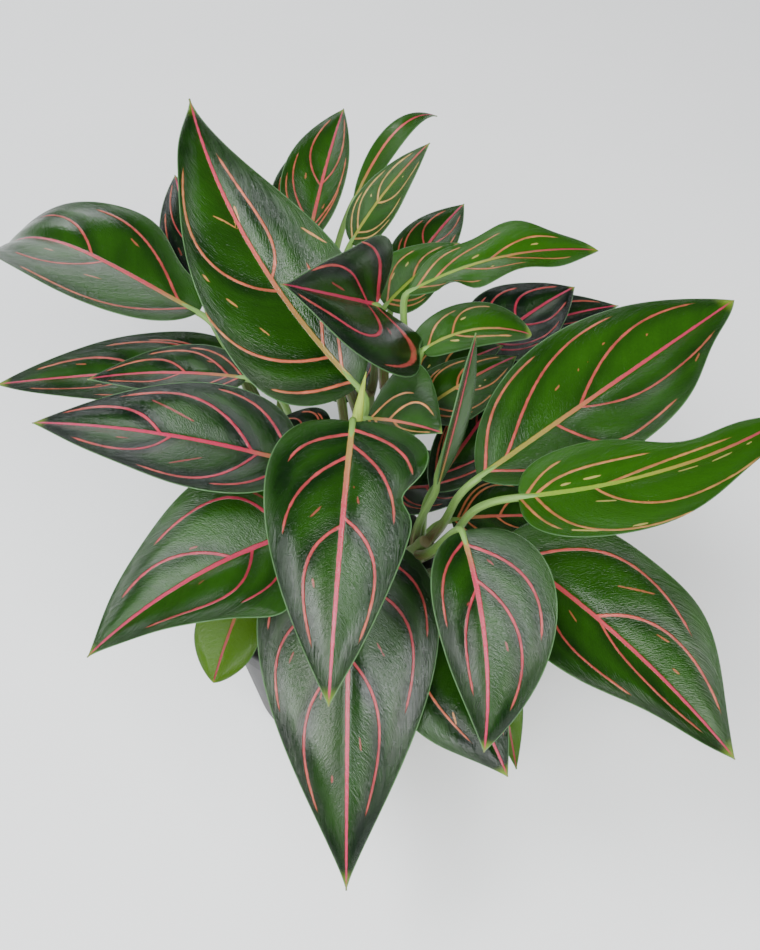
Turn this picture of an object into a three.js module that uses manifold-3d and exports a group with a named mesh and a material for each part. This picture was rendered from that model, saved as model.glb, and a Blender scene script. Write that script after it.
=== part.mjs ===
// A potted tiger aglaonema: dark, pointed leaves on short upright canes in a plain round pot.
// Millimetres, +Z up. The origin is the centre of the pot's underside, the front is towards -Y.
import * as THREE from 'three';
import { mergeVertices } from 'three/addons/utils/BufferGeometryUtils.js';
import Module from 'manifold-3d';

const wasm = await Module();
wasm.setup();

// Clear space kept between pieces that touch on the real plant
const GAP = 0.3;

// Corners closer together than this are one corner
const SAME_POINT = 1e-4;

// Pot: a thin tapered shell with a wider band at the rim and round holes in its floor
const POT_HEIGHT = 80;
const POT_BASE_RADIUS = 32;
const POT_RIM_RADIUS = 43;
const POT_WALL = 1.8;
const POT_FLOOR = 2.4;
const FOOT_BEVEL = 1;
const RIM_DEPTH = 9;
const RIM_STEP = 1.8;
const RIM_SLOPE = 0.8;
const RIM_BEVEL = 1.1;
const DRAIN_HOLES = 6;
const DRAIN_RADIUS = 3.4;
const DRAIN_CIRCLE = 22;
const DRAIN_SIDES = 12;
const POT_SIDES = 48;

// Soil: fills the pot to just under the rim and is a little higher in the middle.
// The crown's points are shares of the soil's radius and of the dome's height.
const SOIL_EDGE_HEIGHT = 69;
const SOIL_DOME = 3.5;
const SOIL_CROWN = [[1, 0], [0.75, 0.5], [0.4, 0.9], [0, 1]];
const SOIL_SIDES = 40;

// Canes: each is rooted in the soil and has a ring where each leaf stood
const CANE_RADIUS = 4.2;
const CANE_TAPER = 0.3;
const CANE_SIDES = 8;
const CANE_STEPS = 14;
const CANE_RINGS = 7;
const RING_SWELL = 0.1;
const CANE_CAP_FROM = 0.93;
const CANE_CAP_LENGTH = 0.08;

// Leaves: a blade on a stalk that is widest where it clasps the cane
const BLADE_THICK = 0.8;
const BLADE_END_WIDTH = 1.2;
const WIDE_BLADE = 34;
const WIDE_GRID = { rows: 9, columns: 6 };
const NARROW_GRID = { rows: 8, columns: 4 };
const STALK_FOOT_RADIUS = 1.9;
const STALK_HEAD_RADIUS = 1.15;
const STALK_SIDES = 5;
const STALK_STEPS = 6;
const STALK_INTO_BLADE = 0.1;
const STALK_FOOT_DEPTH = 0.5;
const STALK_OUTWARD = 0.7;
const STALK_FIRST_BEND = 0.4;

// Spear: the next leaf of the middle cane, still rolled up, thickest below its middle
const SPEAR = { foot: [10, -3, 138 + GAP], middle: [12, -2, 165], top: [16, -3, 191] };
const SPEAR_RADIUS = 2.2;
const SPEAR_TIP_RADIUS = 0.3;
const SPEAR_FOOT = 0.8;
const SPEAR_BELLY = 0.5;
const SPEAR_TAPER = 0.7;
const SPEAR_STEPS = 10;

const COLOURS = {
  pot: { color: 0x2b2a2b, roughness: 0.55, metalness: 0 },
  soil: { color: 0x3a2a1e, roughness: 0.95, metalness: 0 },
  cane: { color: 0x7f9a4e, roughness: 0.5, metalness: 0 },
  spear: { color: 0xa7c956, roughness: 0.4, metalness: 0 },
  leaf: { color: 0x1f4a22, roughness: 0.35, metalness: 0 },
};

// Each cane runs on a curve from its foot in the soil, past a middle point, to its top
const CANES = {
  a: { foot: [5, -3, 60], middle: [7, -3, 100], top: [10, -3, 138] },
  b: { foot: [17, -12, 60], middle: [25, -15, 98], top: [35, -19, 128] },
  c: { foot: [13, 17, 60], middle: [17, 23, 110], top: [23, 29, 150] },
  d: { foot: [-14, 15, 60], middle: [-17, 24, 98], top: [-22, 36, 130] },
  e: { foot: [-17, -10, 60], middle: [-20, -13, 95], top: [-23, -15, 122] },
  f: { foot: [3, 27, 60], middle: [8, 36, 96], top: [16, 46, 128] },
};

// What a leaf has where its row says nothing else. Angles are in degrees.
// widest: place of the widest point, from base 0 to tip 1. full: how bluntly the tip half ends.
// arch and sway: rise and sideways bow of the midrib, as shares of the leaf's length.
// hook: moves the arch towards the tip. fold: how far each half rises from the midrib.
// curl: extra bend of the left and right half. lean: how much wider the right half is.
// wave: height, count, and the left and right starting points of the margin's waves.
// leaves: the direction from +X towards +Y in which the stalk leaves the cane, null for straight out.
// bend: how far from the blade the stalk starts to turn into it, as a share of the stalk.
// lobes: swellings of one side's outline, each a side, a place, an amount and a spread.
// heart: how far the left and right half sweep back past the base, as shares of their width.
// lifts: local rises of one side's margin, each a side, a place, a spread and a height.
const PLAIN_LEAF = {
  width: 40, widest: 0.32, full: 1.05, arch: 0.05, sway: 0, hook: 0, roll: 0,
  fold: 12, curl: [0, 0], lean: 0, wave: [0, 1.5, 0, 0.5], leaves: null, bend: 0.35, lobes: [],
  heart: [0, 0], lifts: [],
};

// One row for each leaf: its name, how far up its cane it grows, base and tip of its blade, and its shape.
// The first letter of the name is the letter of the cane.
const LEAVES = [
  leafRow('a1', 0.95, [13, 12, 168], [-42, 94, 217],
    { width: 48, widest: 0.32, full: 1.43, sway: -0.08, fold: 14, roll: -5, lean: -0.04, leaves: 120,
      lobes: [[-1, 0.95, 0.65, 0.15], [-1, -0.06, 0.5, 0.26]] }),
  leafRow('a2', 0.84, [12, -13, 180], [6, -89, 150],
    { width: 44, widest: 0.27, arch: 0.08, lean: 0.04, bend: 0.12, leaves: -110,
      lobes: [[-1, 0.12, 0.2, 0.1], [-1, 0.3, -0.22, 0.06]] }),
  leafRow('a3', 0.7, [16, 3, 163], [39, -7, 168], { width: 30, lean: -0.5, leaves: 0, bend: 0.2 }),
  leafRow('a4', 0.45, [10, -13, 121], [9, -109, 58],
    { width: 60, widest: 0.25, full: 1.25, arch: 0.06, leaves: -115, bend: 0.1 }),
  leafRow('a5', 0.6, [1, 6, 144], [-17, 14, 147], { width: 26, leaves: 185 }),
  leafRow('b1', 0.95, [50, -18, 160], [136, 44, 175],
    { width: 50, widest: 0.42, full: 0.95, arch: 0.04, sway: 0.02, leaves: 40,
      lobes: [[1, 0.85, -0.35, 0.2]] }),
  leafRow('b2', 0.8, [60, -33, 170], [143, -6, 175],
    { width: 35, widest: 0.3, full: 0.85, arch: 0.03, sway: 0.085, lean: 0.15, leaves: -5,
      lobes: [[-1, 0.62, -0.42, 0.2], [1, 0.75, -0.25, 0.2]] }),
  leafRow('b3', 0.6, [57, -29, 140], [126, -88, 113],
    { width: 50, arch: 0.06, sway: -0.01, leaves: -45, bend: 0.1,
      lobes: [[-1, 0.7, 0.33, 0.24], [1, 0.7, -0.2, 0.2]] }),
  leafRow('b4', 0.9, [44, -38, 160], [50, -91, 125],
    { width: 36, arch: 0.1, sway: -0.04, lean: -0.22, leaves: -95, bend: 0.1 }),
  leafRow('b5', 0.35, [33, -23, 101], [61, -82, 86],
    { width: 40, arch: 0.06, curl: [0, -34], lean: 0.25, bend: 0.15, lobes: [[1, 0.75, 0.2, 0.2]] }),
  leafRow('b6', 0.25, [57, -38, 97], [65, -76, 78], { width: 14, leaves: -10 }),
  leafRow('b7', 0.75, [37, -5, 136], [76, 50, 148], { width: 26, widest: 0.4, roll: 5, lean: 0.2 }),
  leafRow('b8', 0.88, [38, -9, 142], [50, 24, 180],
    { width: 10, widest: 0.5, sway: -0.05, roll: 62, fold: 20, leaves: 120, bend: 0.2 }),
  leafRow('b9', 0.45, [44, -8, 124], [84, -6, 122], { width: 30, leaves: 30 }),
  leafRow('c1', 0.97, [19, 32, 184], [-8, 9, 214],
    { width: 44, widest: 0.23, full: 1.38, arch: 0, roll: -28, fold: 25, curl: [-44, -8], lean: -0.32,
      leaves: 120, bend: 0.12, lobes: [[-1, 0.08, -0.5, 0.165], [1, -0.04, 1.1, 0.24]],
      heart: [2.4, 0.76] }),
  leafRow('c2', 0.88, [29, 42, 180], [90, 51, 190],
    { width: 24, widest: 0.47, full: 0.85, arch: 0.1, wave: [0.18, 2, 0.02, 0.1], leaves: 30, bend: 0.12,
      heart: [0.1, 0.3], lifts: [[1, 0.25, 0.06, 6]] }),
  leafRow('c3', 0.76, [34, 29, 167], [69, 32, 171],
    { width: 17, widest: 0.4, full: 0.55, arch: 0.17, curl: [0, -60], lean: -0.3, leaves: -20, bend: 0.1,
      heart: [0.8, 0] }),
  leafRow('c4', 0.58, [33, 17, 150], [66, 37, 156], { width: 26, fold: 8, lean: 0.15, leaves: -60 }),
  leafRow('c5', 0.45, [55, 45, 150], [89, 70, 157], { width: 34 }),
  leafRow('c6', 0.25, [46, 38, 102], [98, 70, 92], { width: 30, arch: 0.06 }),
  leafRow('c7', 0.66, [30, 32, 143], [62, 43, 155], { width: 26, leaves: 70 }),
  leafRow('c8', 0.2, [24, 18, 106], [58, 14, 113], { width: 30, leaves: -20 }),
  leafRow('d1', 0.95, [-43, 56, 158], [-133, 118, 128],
    { width: 48, widest: 0.38, full: 0.8, arch: 0.14, hook: 0.5, lobes: [[1, 0.12, -0.35, 0.14]] }),
  leafRow('d2', 0.5, [-24, 25, 158], [-79, 32, 150], { width: 23, leaves: -60 }),
  leafRow('d3', 0.5, [-30, 55, 130], [-124, 59, 118],
    { width: 36, full: 0.95, arch: 0.02, leaves: 190, bend: 0.1 }),
  leafRow('d4', 0.82, [-43, 71, 148], [-62, 143, 150], { width: 24, leaves: 95 }),
  leafRow('d5', 0.55, [-9, 95, 158], [-9, 143, 165], { width: 24, leaves: 85 }),
  leafRow('d6', 0.3, [-38, 40, 108], [-92, 66, 98], { width: 30, arch: 0.06 }),
  leafRow('e1', 0.8, [-7, -32, 150], [-68, -63, 130],
    { width: 51, widest: 0.25, full: 1.2, sway: 0.035, lean: 0.19,
      lobes: [[1, 0.58, -0.15, 0.33], [-1, 0.08, 0.5, 0.22]] }),
  leafRow('e2', 0.96, [-6, -11, 158], [-90, 4, 160], { width: 42, widest: 0.3 }),
  leafRow('e3', 0.4, [-26, -20, 100], [-37, -47, 83], { width: 24, widest: 0.45, full: 0.8 }),
  leafRow('f1', 0.55, [10, 108, 164], [41, 133, 184],
    { width: 9, widest: 0.45, arch: 0.3, sway: -0.07, hook: 0.8, roll: 25, lean: 0.2, leaves: 120 }),
  leafRow('f2', 0.75, [10, 81, 168], [37, 97, 198], { width: 22, lean: 0.2, leaves: 90 }),
  leafRow('f3', 0.65, [28, 70, 160], [51, 106, 165], { width: 22, leaves: 20 }),
  leafRow('f4', 0.45, [60, 52, 148], [106, 70, 148], { width: 24, leaves: 0 }),
  leafRow('f5', 0.3, [6, 64, 102], [1, 118, 93], { width: 30, arch: 0.07 }),
  leafRow('f6', 0.95, [22, 54, 163], [47, 69, 178], { width: 26, leaves: 65 }),
  leafRow('f7', 0.85, [-6, 89, 161], [6, 151, 175], { width: 24, widest: 0.4, lean: -0.25, leaves: 150 }),
];

function leafRow(name, place, base, tip, shape) {
  return { ...PLAIN_LEAF, ...shape, name, cane: CANES[name[0]], place, base, tip };
}

function vector(list) {
  return new THREE.Vector3(...list);
}

function turn(degrees) {
  return THREE.MathUtils.degToRad(degrees);
}

// A point and direction of a leaf's midrib at t, on a cubic curve that arches off the chord
function leafSpine(row) {
  const base = vector(row.base);
  const tip = vector(row.tip);
  const length = base.distanceTo(tip);
  const chord = tip.clone().sub(base).divideScalar(length);
  const up = new THREE.Vector3(0, 0, 1).addScaledVector(chord, -chord.z).normalize();
  const right = chord.clone().cross(up);
  const roll = turn(row.roll);
  const face = up.clone().multiplyScalar(Math.cos(roll)).addScaledVector(right, Math.sin(roll));
  const side = right.clone().multiplyScalar(Math.cos(roll)).addScaledVector(up, -Math.sin(roll));
  const rise = (4 / 3) * row.arch * length;
  const drift = (4 / 3) * row.sway * length;
  const near = base.clone().addScaledVector(chord, length / 3)
    .addScaledVector(face, rise * (1 - row.hook)).addScaledVector(side, drift);
  const far = base.clone().addScaledVector(chord, (2 * length) / 3)
    .addScaledVector(face, rise * (1 + row.hook)).addScaledVector(side, drift);
  return { curve: new THREE.CubicBezierCurve3(base, near, far, tip), side };
}

// Half the blade's width at t: zero at both ends, with its peak at the widest point
function halfWidth(row, t) {
  const end = row.full;
  const start = (end * row.widest) / (1 - row.widest);
  const shape = (t / row.widest) ** start * ((1 - t) / (1 - row.widest)) ** end;
  return Math.max((row.width / 2) * shape, BLADE_END_WIDTH / 2);
}

// Sum of the margin's swellings on the side that v lies on
function lobeFactor(row, t, v) {
  return row.lobes.reduce((sum, [side, place, amount, spread]) => (
    sum + (Math.sign(v) === side ? amount * Math.exp(-(((t - place) / spread) ** 2)) : 0)), 1);
}

// Sum of the local rises of the margin on the side that v lies on
function liftHeight(row, t, v) {
  return row.lifts.reduce((sum, [side, place, spread, height]) => (
    sum + (Math.sign(v) === side ? height * Math.exp(-(((t - place) / spread) ** 2)) : 0)), 0);
}

// A point of the blade at t along the midrib and v across it, and the face's direction there
function bladePoint(row, spine, t, v) {
  const middle = spine.curve.getPoint(t);
  const along = spine.curve.getTangent(t);
  const across = spine.side.clone().addScaledVector(along, -along.dot(spine.side)).normalize();
  const normal = across.clone().cross(along);
  const out = Math.abs(v);
  const half = v < 0 ? 0 : 1;
  const reach = halfWidth(row, t) * (1 + row.lean * Math.sign(v)) * lobeFactor(row, t, v);
  const rise = turn(row.fold + (row.curl[half] * out) / 2);
  const [height, count, leftStart, rightStart] = row.wave;
  const phase = 2 * Math.PI * (count * t + (v < 0 ? leftStart : rightStart));
  const ripple = reach * height * out ** 2 * Math.sin(phase) * Math.sqrt(Math.sin(Math.PI * t));
  const lift = liftHeight(row, t, v) * (reach / (row.width / 2)) * out ** 3;
  const swept = reach * row.heart[half] * out ** 2 * (1 - t) ** 4;
  const point = middle.addScaledVector(across, Math.sign(v) * reach * out * Math.cos(rise))
    .addScaledVector(normal, reach * out * Math.sin(rise) + ripple + lift)
    .addScaledVector(along, -swept);
  const tilt = Math.sign(v) * rise;
  normal.multiplyScalar(Math.cos(tilt)).addScaledVector(across, -Math.sin(tilt));
  return { point, normal };
}

// The closed blade: the same grid on both faces, split into the same triangles, with a rim between
function bladeGeometry(row) {
  const spine = leafSpine(row);
  const { rows, columns } = row.width > WIDE_BLADE ? WIDE_GRID : NARROW_GRID;
  const positions = [];
  for (const lift of [BLADE_THICK / 2, -BLADE_THICK / 2]) {
    for (let i = 0; i <= rows; i += 1) {
      const t = (1 - Math.cos((Math.PI * i) / rows)) / 2;
      for (let j = 0; j <= columns; j += 1) {
        const { point, normal } = bladePoint(row, spine, t, (2 * j) / columns - 1);
        positions.push(...point.addScaledVector(normal, lift).toArray());
      }
    }
  }
  const next = columns + 1;
  const layer = (rows + 1) * next;
  const index = [];
  const quad = (a, b, c, d) => index.push(a, b, c, a, c, d);
  for (let i = 0; i < rows; i += 1) {
    for (let j = 0; j < columns; j += 1) {
      const a = i * next + j;
      index.push(a, a + 1, a + next + 1, a, a + next + 1, a + next);
      index.push(layer + a, layer + a + next + 1, layer + a + 1);
      index.push(layer + a, layer + a + next, layer + a + next + 1);
    }
    const left = i * next;
    const right = left + columns;
    quad(left, left + next, layer + left + next, layer + left);
    quad(right, layer + right, layer + right + next, right + next);
  }
  for (let j = 0; j < columns; j += 1) {
    const far = rows * next + j;
    quad(j, layer + j, layer + j + 1, j + 1);
    quad(far, far + 1, layer + far + 1, layer + far);
  }
  const geometry = new THREE.BufferGeometry();
  geometry.setAttribute('position', new THREE.Float32BufferAttribute(positions, 3));
  geometry.setIndex(index);
  return geometry;
}

// A rod bent along a curve, whose radius at s from 0 to 1 is given by a function
function rodGeometry(curve, sides, steps, radiusAt) {
  const geometry = new THREE.CylinderGeometry(1, 1, 1, sides, steps);
  const frames = curve.computeFrenetFrames(steps);
  const place = geometry.attributes.position;
  for (let i = 0; i < place.count; i += 1) {
    const s = 0.5 + place.getY(i);
    const step = Math.round(s * steps);
    const radius = radiusAt(s);
    const point = curve.getPointAt(s)
      .addScaledVector(frames.normals[step], radius * place.getX(i))
      .addScaledVector(frames.binormals[step], -radius * place.getZ(i));
    place.setXYZ(i, point.x, point.y, point.z);
  }
  return geometry;
}

function caneCurve(cane) {
  return new THREE.QuadraticBezierCurve3(vector(cane.foot), vector(cane.middle), vector(cane.top));
}

// A cane tapers upwards, swells at its rings and is rounded off at the top
function caneGeometry(cane, extra) {
  const radiusAt = (s) => {
    const ring = RING_SWELL * Math.cos(2 * Math.PI * CANE_RINGS * s);
    const cap = Math.sqrt(1 - Math.max((s - CANE_CAP_FROM) / CANE_CAP_LENGTH, 0) ** 2);
    return CANE_RADIUS * (1 - CANE_TAPER * s) * (1 + ring) * cap + extra;
  };
  return rodGeometry(caneCurve(cane), CANE_SIDES, CANE_STEPS, radiusAt);
}

// The stalk leaves the cane outwards and upwards and runs into the first part of the midrib
function stalkCurve(row) {
  const cane = caneCurve(row.cane);
  const { curve } = leafSpine(row);
  const root = cane.getPoint(row.place);
  const rising = cane.getTangent(row.place);
  const head = curve.getPoint(0);
  const outward = head.clone().sub(root).setZ(0).normalize();
  if (row.leaves !== null) outward.set(Math.cos(turn(row.leaves)), Math.sin(turn(row.leaves)), 0);
  const start = root.clone().addScaledVector(outward, CANE_RADIUS * STALK_FOOT_DEPTH);
  const reach = start.distanceTo(head);
  const leaving = outward.clone().multiplyScalar(STALK_OUTWARD).add(rising).normalize();
  const path = new THREE.CurvePath();
  path.add(new THREE.CubicBezierCurve3(
    start,
    start.clone().addScaledVector(leaving, reach * STALK_FIRST_BEND),
    head.clone().addScaledVector(curve.getTangent(0), -reach * row.bend),
    head,
  ));
  path.add(new THREE.LineCurve3(head, curve.getPoint(STALK_INTO_BLADE)));
  return path;
}

function stalkGeometry(row) {
  const radiusAt = (s) => STALK_FOOT_RADIUS + (STALK_HEAD_RADIUS - STALK_FOOT_RADIUS) * Math.sqrt(s);
  return rodGeometry(stalkCurve(row), STALK_SIDES, STALK_STEPS, radiusAt);
}

function solidOf(geometry) {
  geometry.deleteAttribute('normal');
  geometry.deleteAttribute('uv');
  const merged = mergeVertices(geometry, SAME_POINT);
  return new wasm.Manifold(new wasm.Mesh({
    numProp: 3,
    vertProperties: new Float32Array(merged.attributes.position.array),
    triVerts: new Uint32Array(merged.index.array),
  }));
}

function geometryOf(solid) {
  const { vertProperties, triVerts } = solid.getMesh();
  const geometry = new THREE.BufferGeometry();
  geometry.setAttribute('position', new THREE.BufferAttribute(vertProperties, 3));
  geometry.setIndex(new THREE.BufferAttribute(triVerts, 1));
  geometry.computeVertexNormals();
  return geometry;
}

function latheSolid(profile, sides) {
  const points = profile.map(([radius, height]) => new THREE.Vector2(radius, height));
  return solidOf(new THREE.LatheGeometry(points, sides).rotateX(Math.PI / 2));
}

// Radius of the pot's outer wall at a height
function potRadius(height) {
  return POT_BASE_RADIUS + ((POT_RIM_RADIUS - RIM_STEP - POT_BASE_RADIUS) * height) / POT_HEIGHT;
}

function potSolid() {
  const rimFoot = POT_HEIGHT - RIM_DEPTH;
  const profile = [
    [0, 0],
    [POT_BASE_RADIUS - FOOT_BEVEL, 0],
    [potRadius(FOOT_BEVEL), FOOT_BEVEL],
    [potRadius(rimFoot), rimFoot],
    [POT_RIM_RADIUS, rimFoot + RIM_SLOPE],
    [POT_RIM_RADIUS, POT_HEIGHT - RIM_BEVEL],
    [POT_RIM_RADIUS - RIM_BEVEL, POT_HEIGHT],
    [potRadius(POT_HEIGHT) - POT_WALL, POT_HEIGHT],
    [potRadius(POT_FLOOR) - POT_WALL, POT_FLOOR],
    [0, POT_FLOOR],
  ];
  let pot = latheSolid(profile, POT_SIDES);
  for (let i = 0; i < DRAIN_HOLES; i += 1) {
    const around = (2 * Math.PI * (i + 0.5)) / DRAIN_HOLES;
    const hole = new THREE.CylinderGeometry(DRAIN_RADIUS, DRAIN_RADIUS, 4 * POT_FLOOR, DRAIN_SIDES);
    hole.rotateX(Math.PI / 2);
    hole.translate(DRAIN_CIRCLE * Math.cos(around), DRAIN_CIRCLE * Math.sin(around), 0);
    pot = pot.subtract(solidOf(hole));
  }
  return pot;
}

// The soil stands clear of the pot's wall and floor, with a plain hole for each cane
function soilSolid() {
  const wall = (height) => potRadius(height) - POT_WALL - GAP;
  const crown = SOIL_CROWN.map(([out, up]) => [
    wall(SOIL_EDGE_HEIGHT) * out,
    SOIL_EDGE_HEIGHT + SOIL_DOME * up,
  ]);
  const profile = [[0, POT_FLOOR + GAP], [wall(POT_FLOOR) - GAP, POT_FLOOR + GAP], ...crown];
  const holes = Object.values(CANES).map((cane) => solidOf(caneGeometry(cane, GAP)));
  return holes.reduce((soil, hole) => soil.subtract(hole), latheSolid(profile, SOIL_SIDES));
}

// Blade and stalk in one body, whose foot is hollowed to stand clear around the cane
function leafSolid(row) {
  const whole = solidOf(bladeGeometry(row)).add(solidOf(stalkGeometry(row)));
  return whole.subtract(solidOf(caneGeometry(row.cane, GAP)));
}

function spearSolid() {
  const radiusAt = (s) => {
    const body = SPEAR_FOOT + SPEAR_BELLY * Math.sin(Math.PI * s);
    return SPEAR_RADIUS * (1 - s) ** SPEAR_TAPER * body + SPEAR_TIP_RADIUS;
  };
  return solidOf(rodGeometry(caneCurve(SPEAR), CANE_SIDES, SPEAR_STEPS, radiusAt));
}

function piece(name, solid, look) {
  const mesh = new THREE.Mesh(geometryOf(solid), new THREE.MeshStandardMaterial(COLOURS[look]));
  mesh.name = name;
  return mesh;
}

const plant = new THREE.Group();
plant.add(piece('pot', potSolid(), 'pot'));
plant.add(piece('soil', soilSolid(), 'soil'));
for (const [letter, cane] of Object.entries(CANES)) {
  plant.add(piece(`cane_${letter}`, solidOf(caneGeometry(cane, 0)), 'cane'));
}
plant.add(piece('spear', spearSolid(), 'spear'));
for (const row of LEAVES) {
  plant.add(piece(`leaf_${row.name}`, leafSolid(row), 'leaf'));
}

export default plant;
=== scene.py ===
"""A potted tiger aglaonema: finished leaves, canes, potting mix and pot around the plant's solids.

Sizes in the tables are in millimetres unless they say otherwise, +Z is up, and the origin is the centre of
the pot's underside.
"""

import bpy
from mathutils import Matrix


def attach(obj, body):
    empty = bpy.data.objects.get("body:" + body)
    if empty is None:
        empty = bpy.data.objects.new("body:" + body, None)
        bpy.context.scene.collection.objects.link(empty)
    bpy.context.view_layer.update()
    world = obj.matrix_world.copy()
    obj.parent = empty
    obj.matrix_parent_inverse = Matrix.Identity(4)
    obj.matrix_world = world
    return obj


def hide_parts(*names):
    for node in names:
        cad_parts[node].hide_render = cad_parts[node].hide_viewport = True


bl_info = {
    "name": "Potted Tiger Aglaonema",
    "version": (1, 0, 0),
    "blender": (4, 5, 0),
    "location": "3D View > Sidebar > Plant",
    "description": "Builds a tiger aglaonema with veined leaves, ringed canes, potting mix and a plain pot",
    "category": "Add Mesh",
}

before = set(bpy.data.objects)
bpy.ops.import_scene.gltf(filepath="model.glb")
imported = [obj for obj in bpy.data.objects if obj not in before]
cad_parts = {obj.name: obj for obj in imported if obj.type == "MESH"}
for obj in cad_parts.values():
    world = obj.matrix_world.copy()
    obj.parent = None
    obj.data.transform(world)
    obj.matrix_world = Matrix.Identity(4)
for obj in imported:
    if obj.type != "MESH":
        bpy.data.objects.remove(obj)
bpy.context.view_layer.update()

import math

import bmesh
import bpy
import numpy as np
from bpy.props import FloatProperty, FloatVectorProperty, IntProperty, PointerProperty
from mathutils import Vector

MM = 0.001
TURN = 2 * math.pi
WELD = 2e-5  # points closer than this are one, in metres
TO_BACK = np.array([0, 1.0, 0])
LEAST_REACH = 0.18  # half the blade's width at its very base and tip
RIM_BULGE = 0.12  # how far the rounded margin stands out
DASH_HALF = 0.32  # half the width of a dash
FAR = 99.0  # the distance to a vein that isn't there
STALK_OFFSET = 2.1  # from the cane's axis to the foot of a stalk
CANE_RINGS = 7
# The mix: its height at the wall, the rise of its dome, the height of its foot, and its sides
SOIL_EDGE, SOIL_DOME, SOIL_FOOT, SOIL_SIDES = 69, 3.5, 2.7, 168
LUMPS, LUMP_SEED, GRAIN_SEED = 360, 11, 23
# The pot: how far its band stands out, the band's height, the floor's thickness, and its sides
POT_STEP, POT_BAND, POT_FLOOR, POT_SIDES = 1.8, 9.0, 2.4, 144
# The drain holes: their number, the radius that they lie on, their own radius, and the ring that holds them
DRAINS, DRAIN_CIRCLE, DRAIN_RADIUS, DRAIN_RING = 6, 22, 3.4, (14, 30)
WAX_IOR = 1.44
FLOOR_HALF = 6000
SKY_COLOUR = (0.92, 0.95, 1.0)
CAMERA_PLACE, CAMERA_TILT = (0.020, -0.2268, 0.4287), 38
SENSOR, LENS, NEAR_END = 36, 42.4, 0.01
LIT_POINT = (0, 0, 0.13)
# Each light's place, its width and height, all in metres, and its colour
LIGHTS = {
    "back_window": ((-0.5, 1.5, 0.6), (0.9, 0.5), (0.95, 0.98, 1.0)),
    "front_window": ((-0.42, -0.85, 1.35), (0.8, 0.6), (0.96, 0.985, 1.0)),
    "left_window": ((-0.62, -0.1, 1.35), (0.55, 0.45), (0.96, 0.985, 1.0)),
    "front_fill": ((0.7, -1.4, 1.5), (1.5, 1.1), (1.0, 0.99, 0.97)),
}

# Each cane is a curve from its foot in the soil, past a middle point, to its top
CANES = {
    "a": ((5, -3, 60), (7, -3, 100), (10, -3, 138)),
    "b": ((17, -12, 60), (25, -15, 98), (35, -19, 128)),
    "c": ((13, 17, 60), (17, 23, 110), (23, 29, 150)),
    "d": ((-14, 15, 60), (-17, 24, 98), (-22, 36, 130)),
    "e": ((-17, -10, 60), (-20, -13, 95), (-23, -15, 122)),
    "f": ((3, 27, 60), (8, 36, 96), (16, 46, 128)),
}
SPEAR = ((10, -3, 138.3), (12, -2, 165), (16, -3, 191))

# What a leaf has where its row says nothing else. Angles are in degrees.
# widest: place of the widest point, from base 0 to tip 1. full: how bluntly the tip half ends.
# arch and sway: rise and sideways bow of the midrib, as shares of the leaf's length.
# hook: moves the arch towards the tip. fold: how far each half rises from the midrib.
# curl: extra bend of the left and right half. lean: how much wider the right half is.
# wave: height, count, and the left and right starting points of the margin's waves.
# leaves: the direction in which the stalk leaves the cane. bend: where the stalk turns into the blade.
# lobes: swellings of one side's outline, each a side, a place, an amount and a spread.
# heart: how far the left and right half sweep back past the base, as shares of their width.
# lifts: local rises of one side's margin, each a side, a place, a spread and a height.
# fresh: 0 a mature dark leaf, 1 a young bright one, set lower on some leaves as painted shade. ripe: how far
# along the midrib the coral begins.
# warm: 0 coral-pink veins, 1 peach, 2 cream. left, right: the veins of each half, each where it leaves
# the midrib, how far out it arches, how quickly, and where it ends. strokes: short dashes between them,
# each a side, a place along, a place out, and how far along and out it runs. Veins and strokes are in
# hundredths, and None gives the usual ones.
PLAIN_LEAF = {
    "width": 40, "widest": 0.32, "full": 1.05, "arch": 0.05, "sway": 0, "hook": 0, "roll": 0,
    "fold": 12, "curl": (0, 0), "lean": 0, "wave": (0, 1.5, 0, 0.5), "leaves": None, "bend": 0.35,
    "lobes": (), "heart": (0, 0), "lifts": (), "fresh": 0.15, "ripe": 0.3, "warm": 0.2, "left": None,
    "right": None, "strokes": None,
}
USUAL_VEINS = ((0.03, 0.88, 0.1, 0.4), (0.1, 0.85, 0.13, 0.62), (0.38, 0.72, 0.14, 0.88))
VEIN_SHIFT = np.array([0.02, 0.03, 0.02, 0.05])

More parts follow.
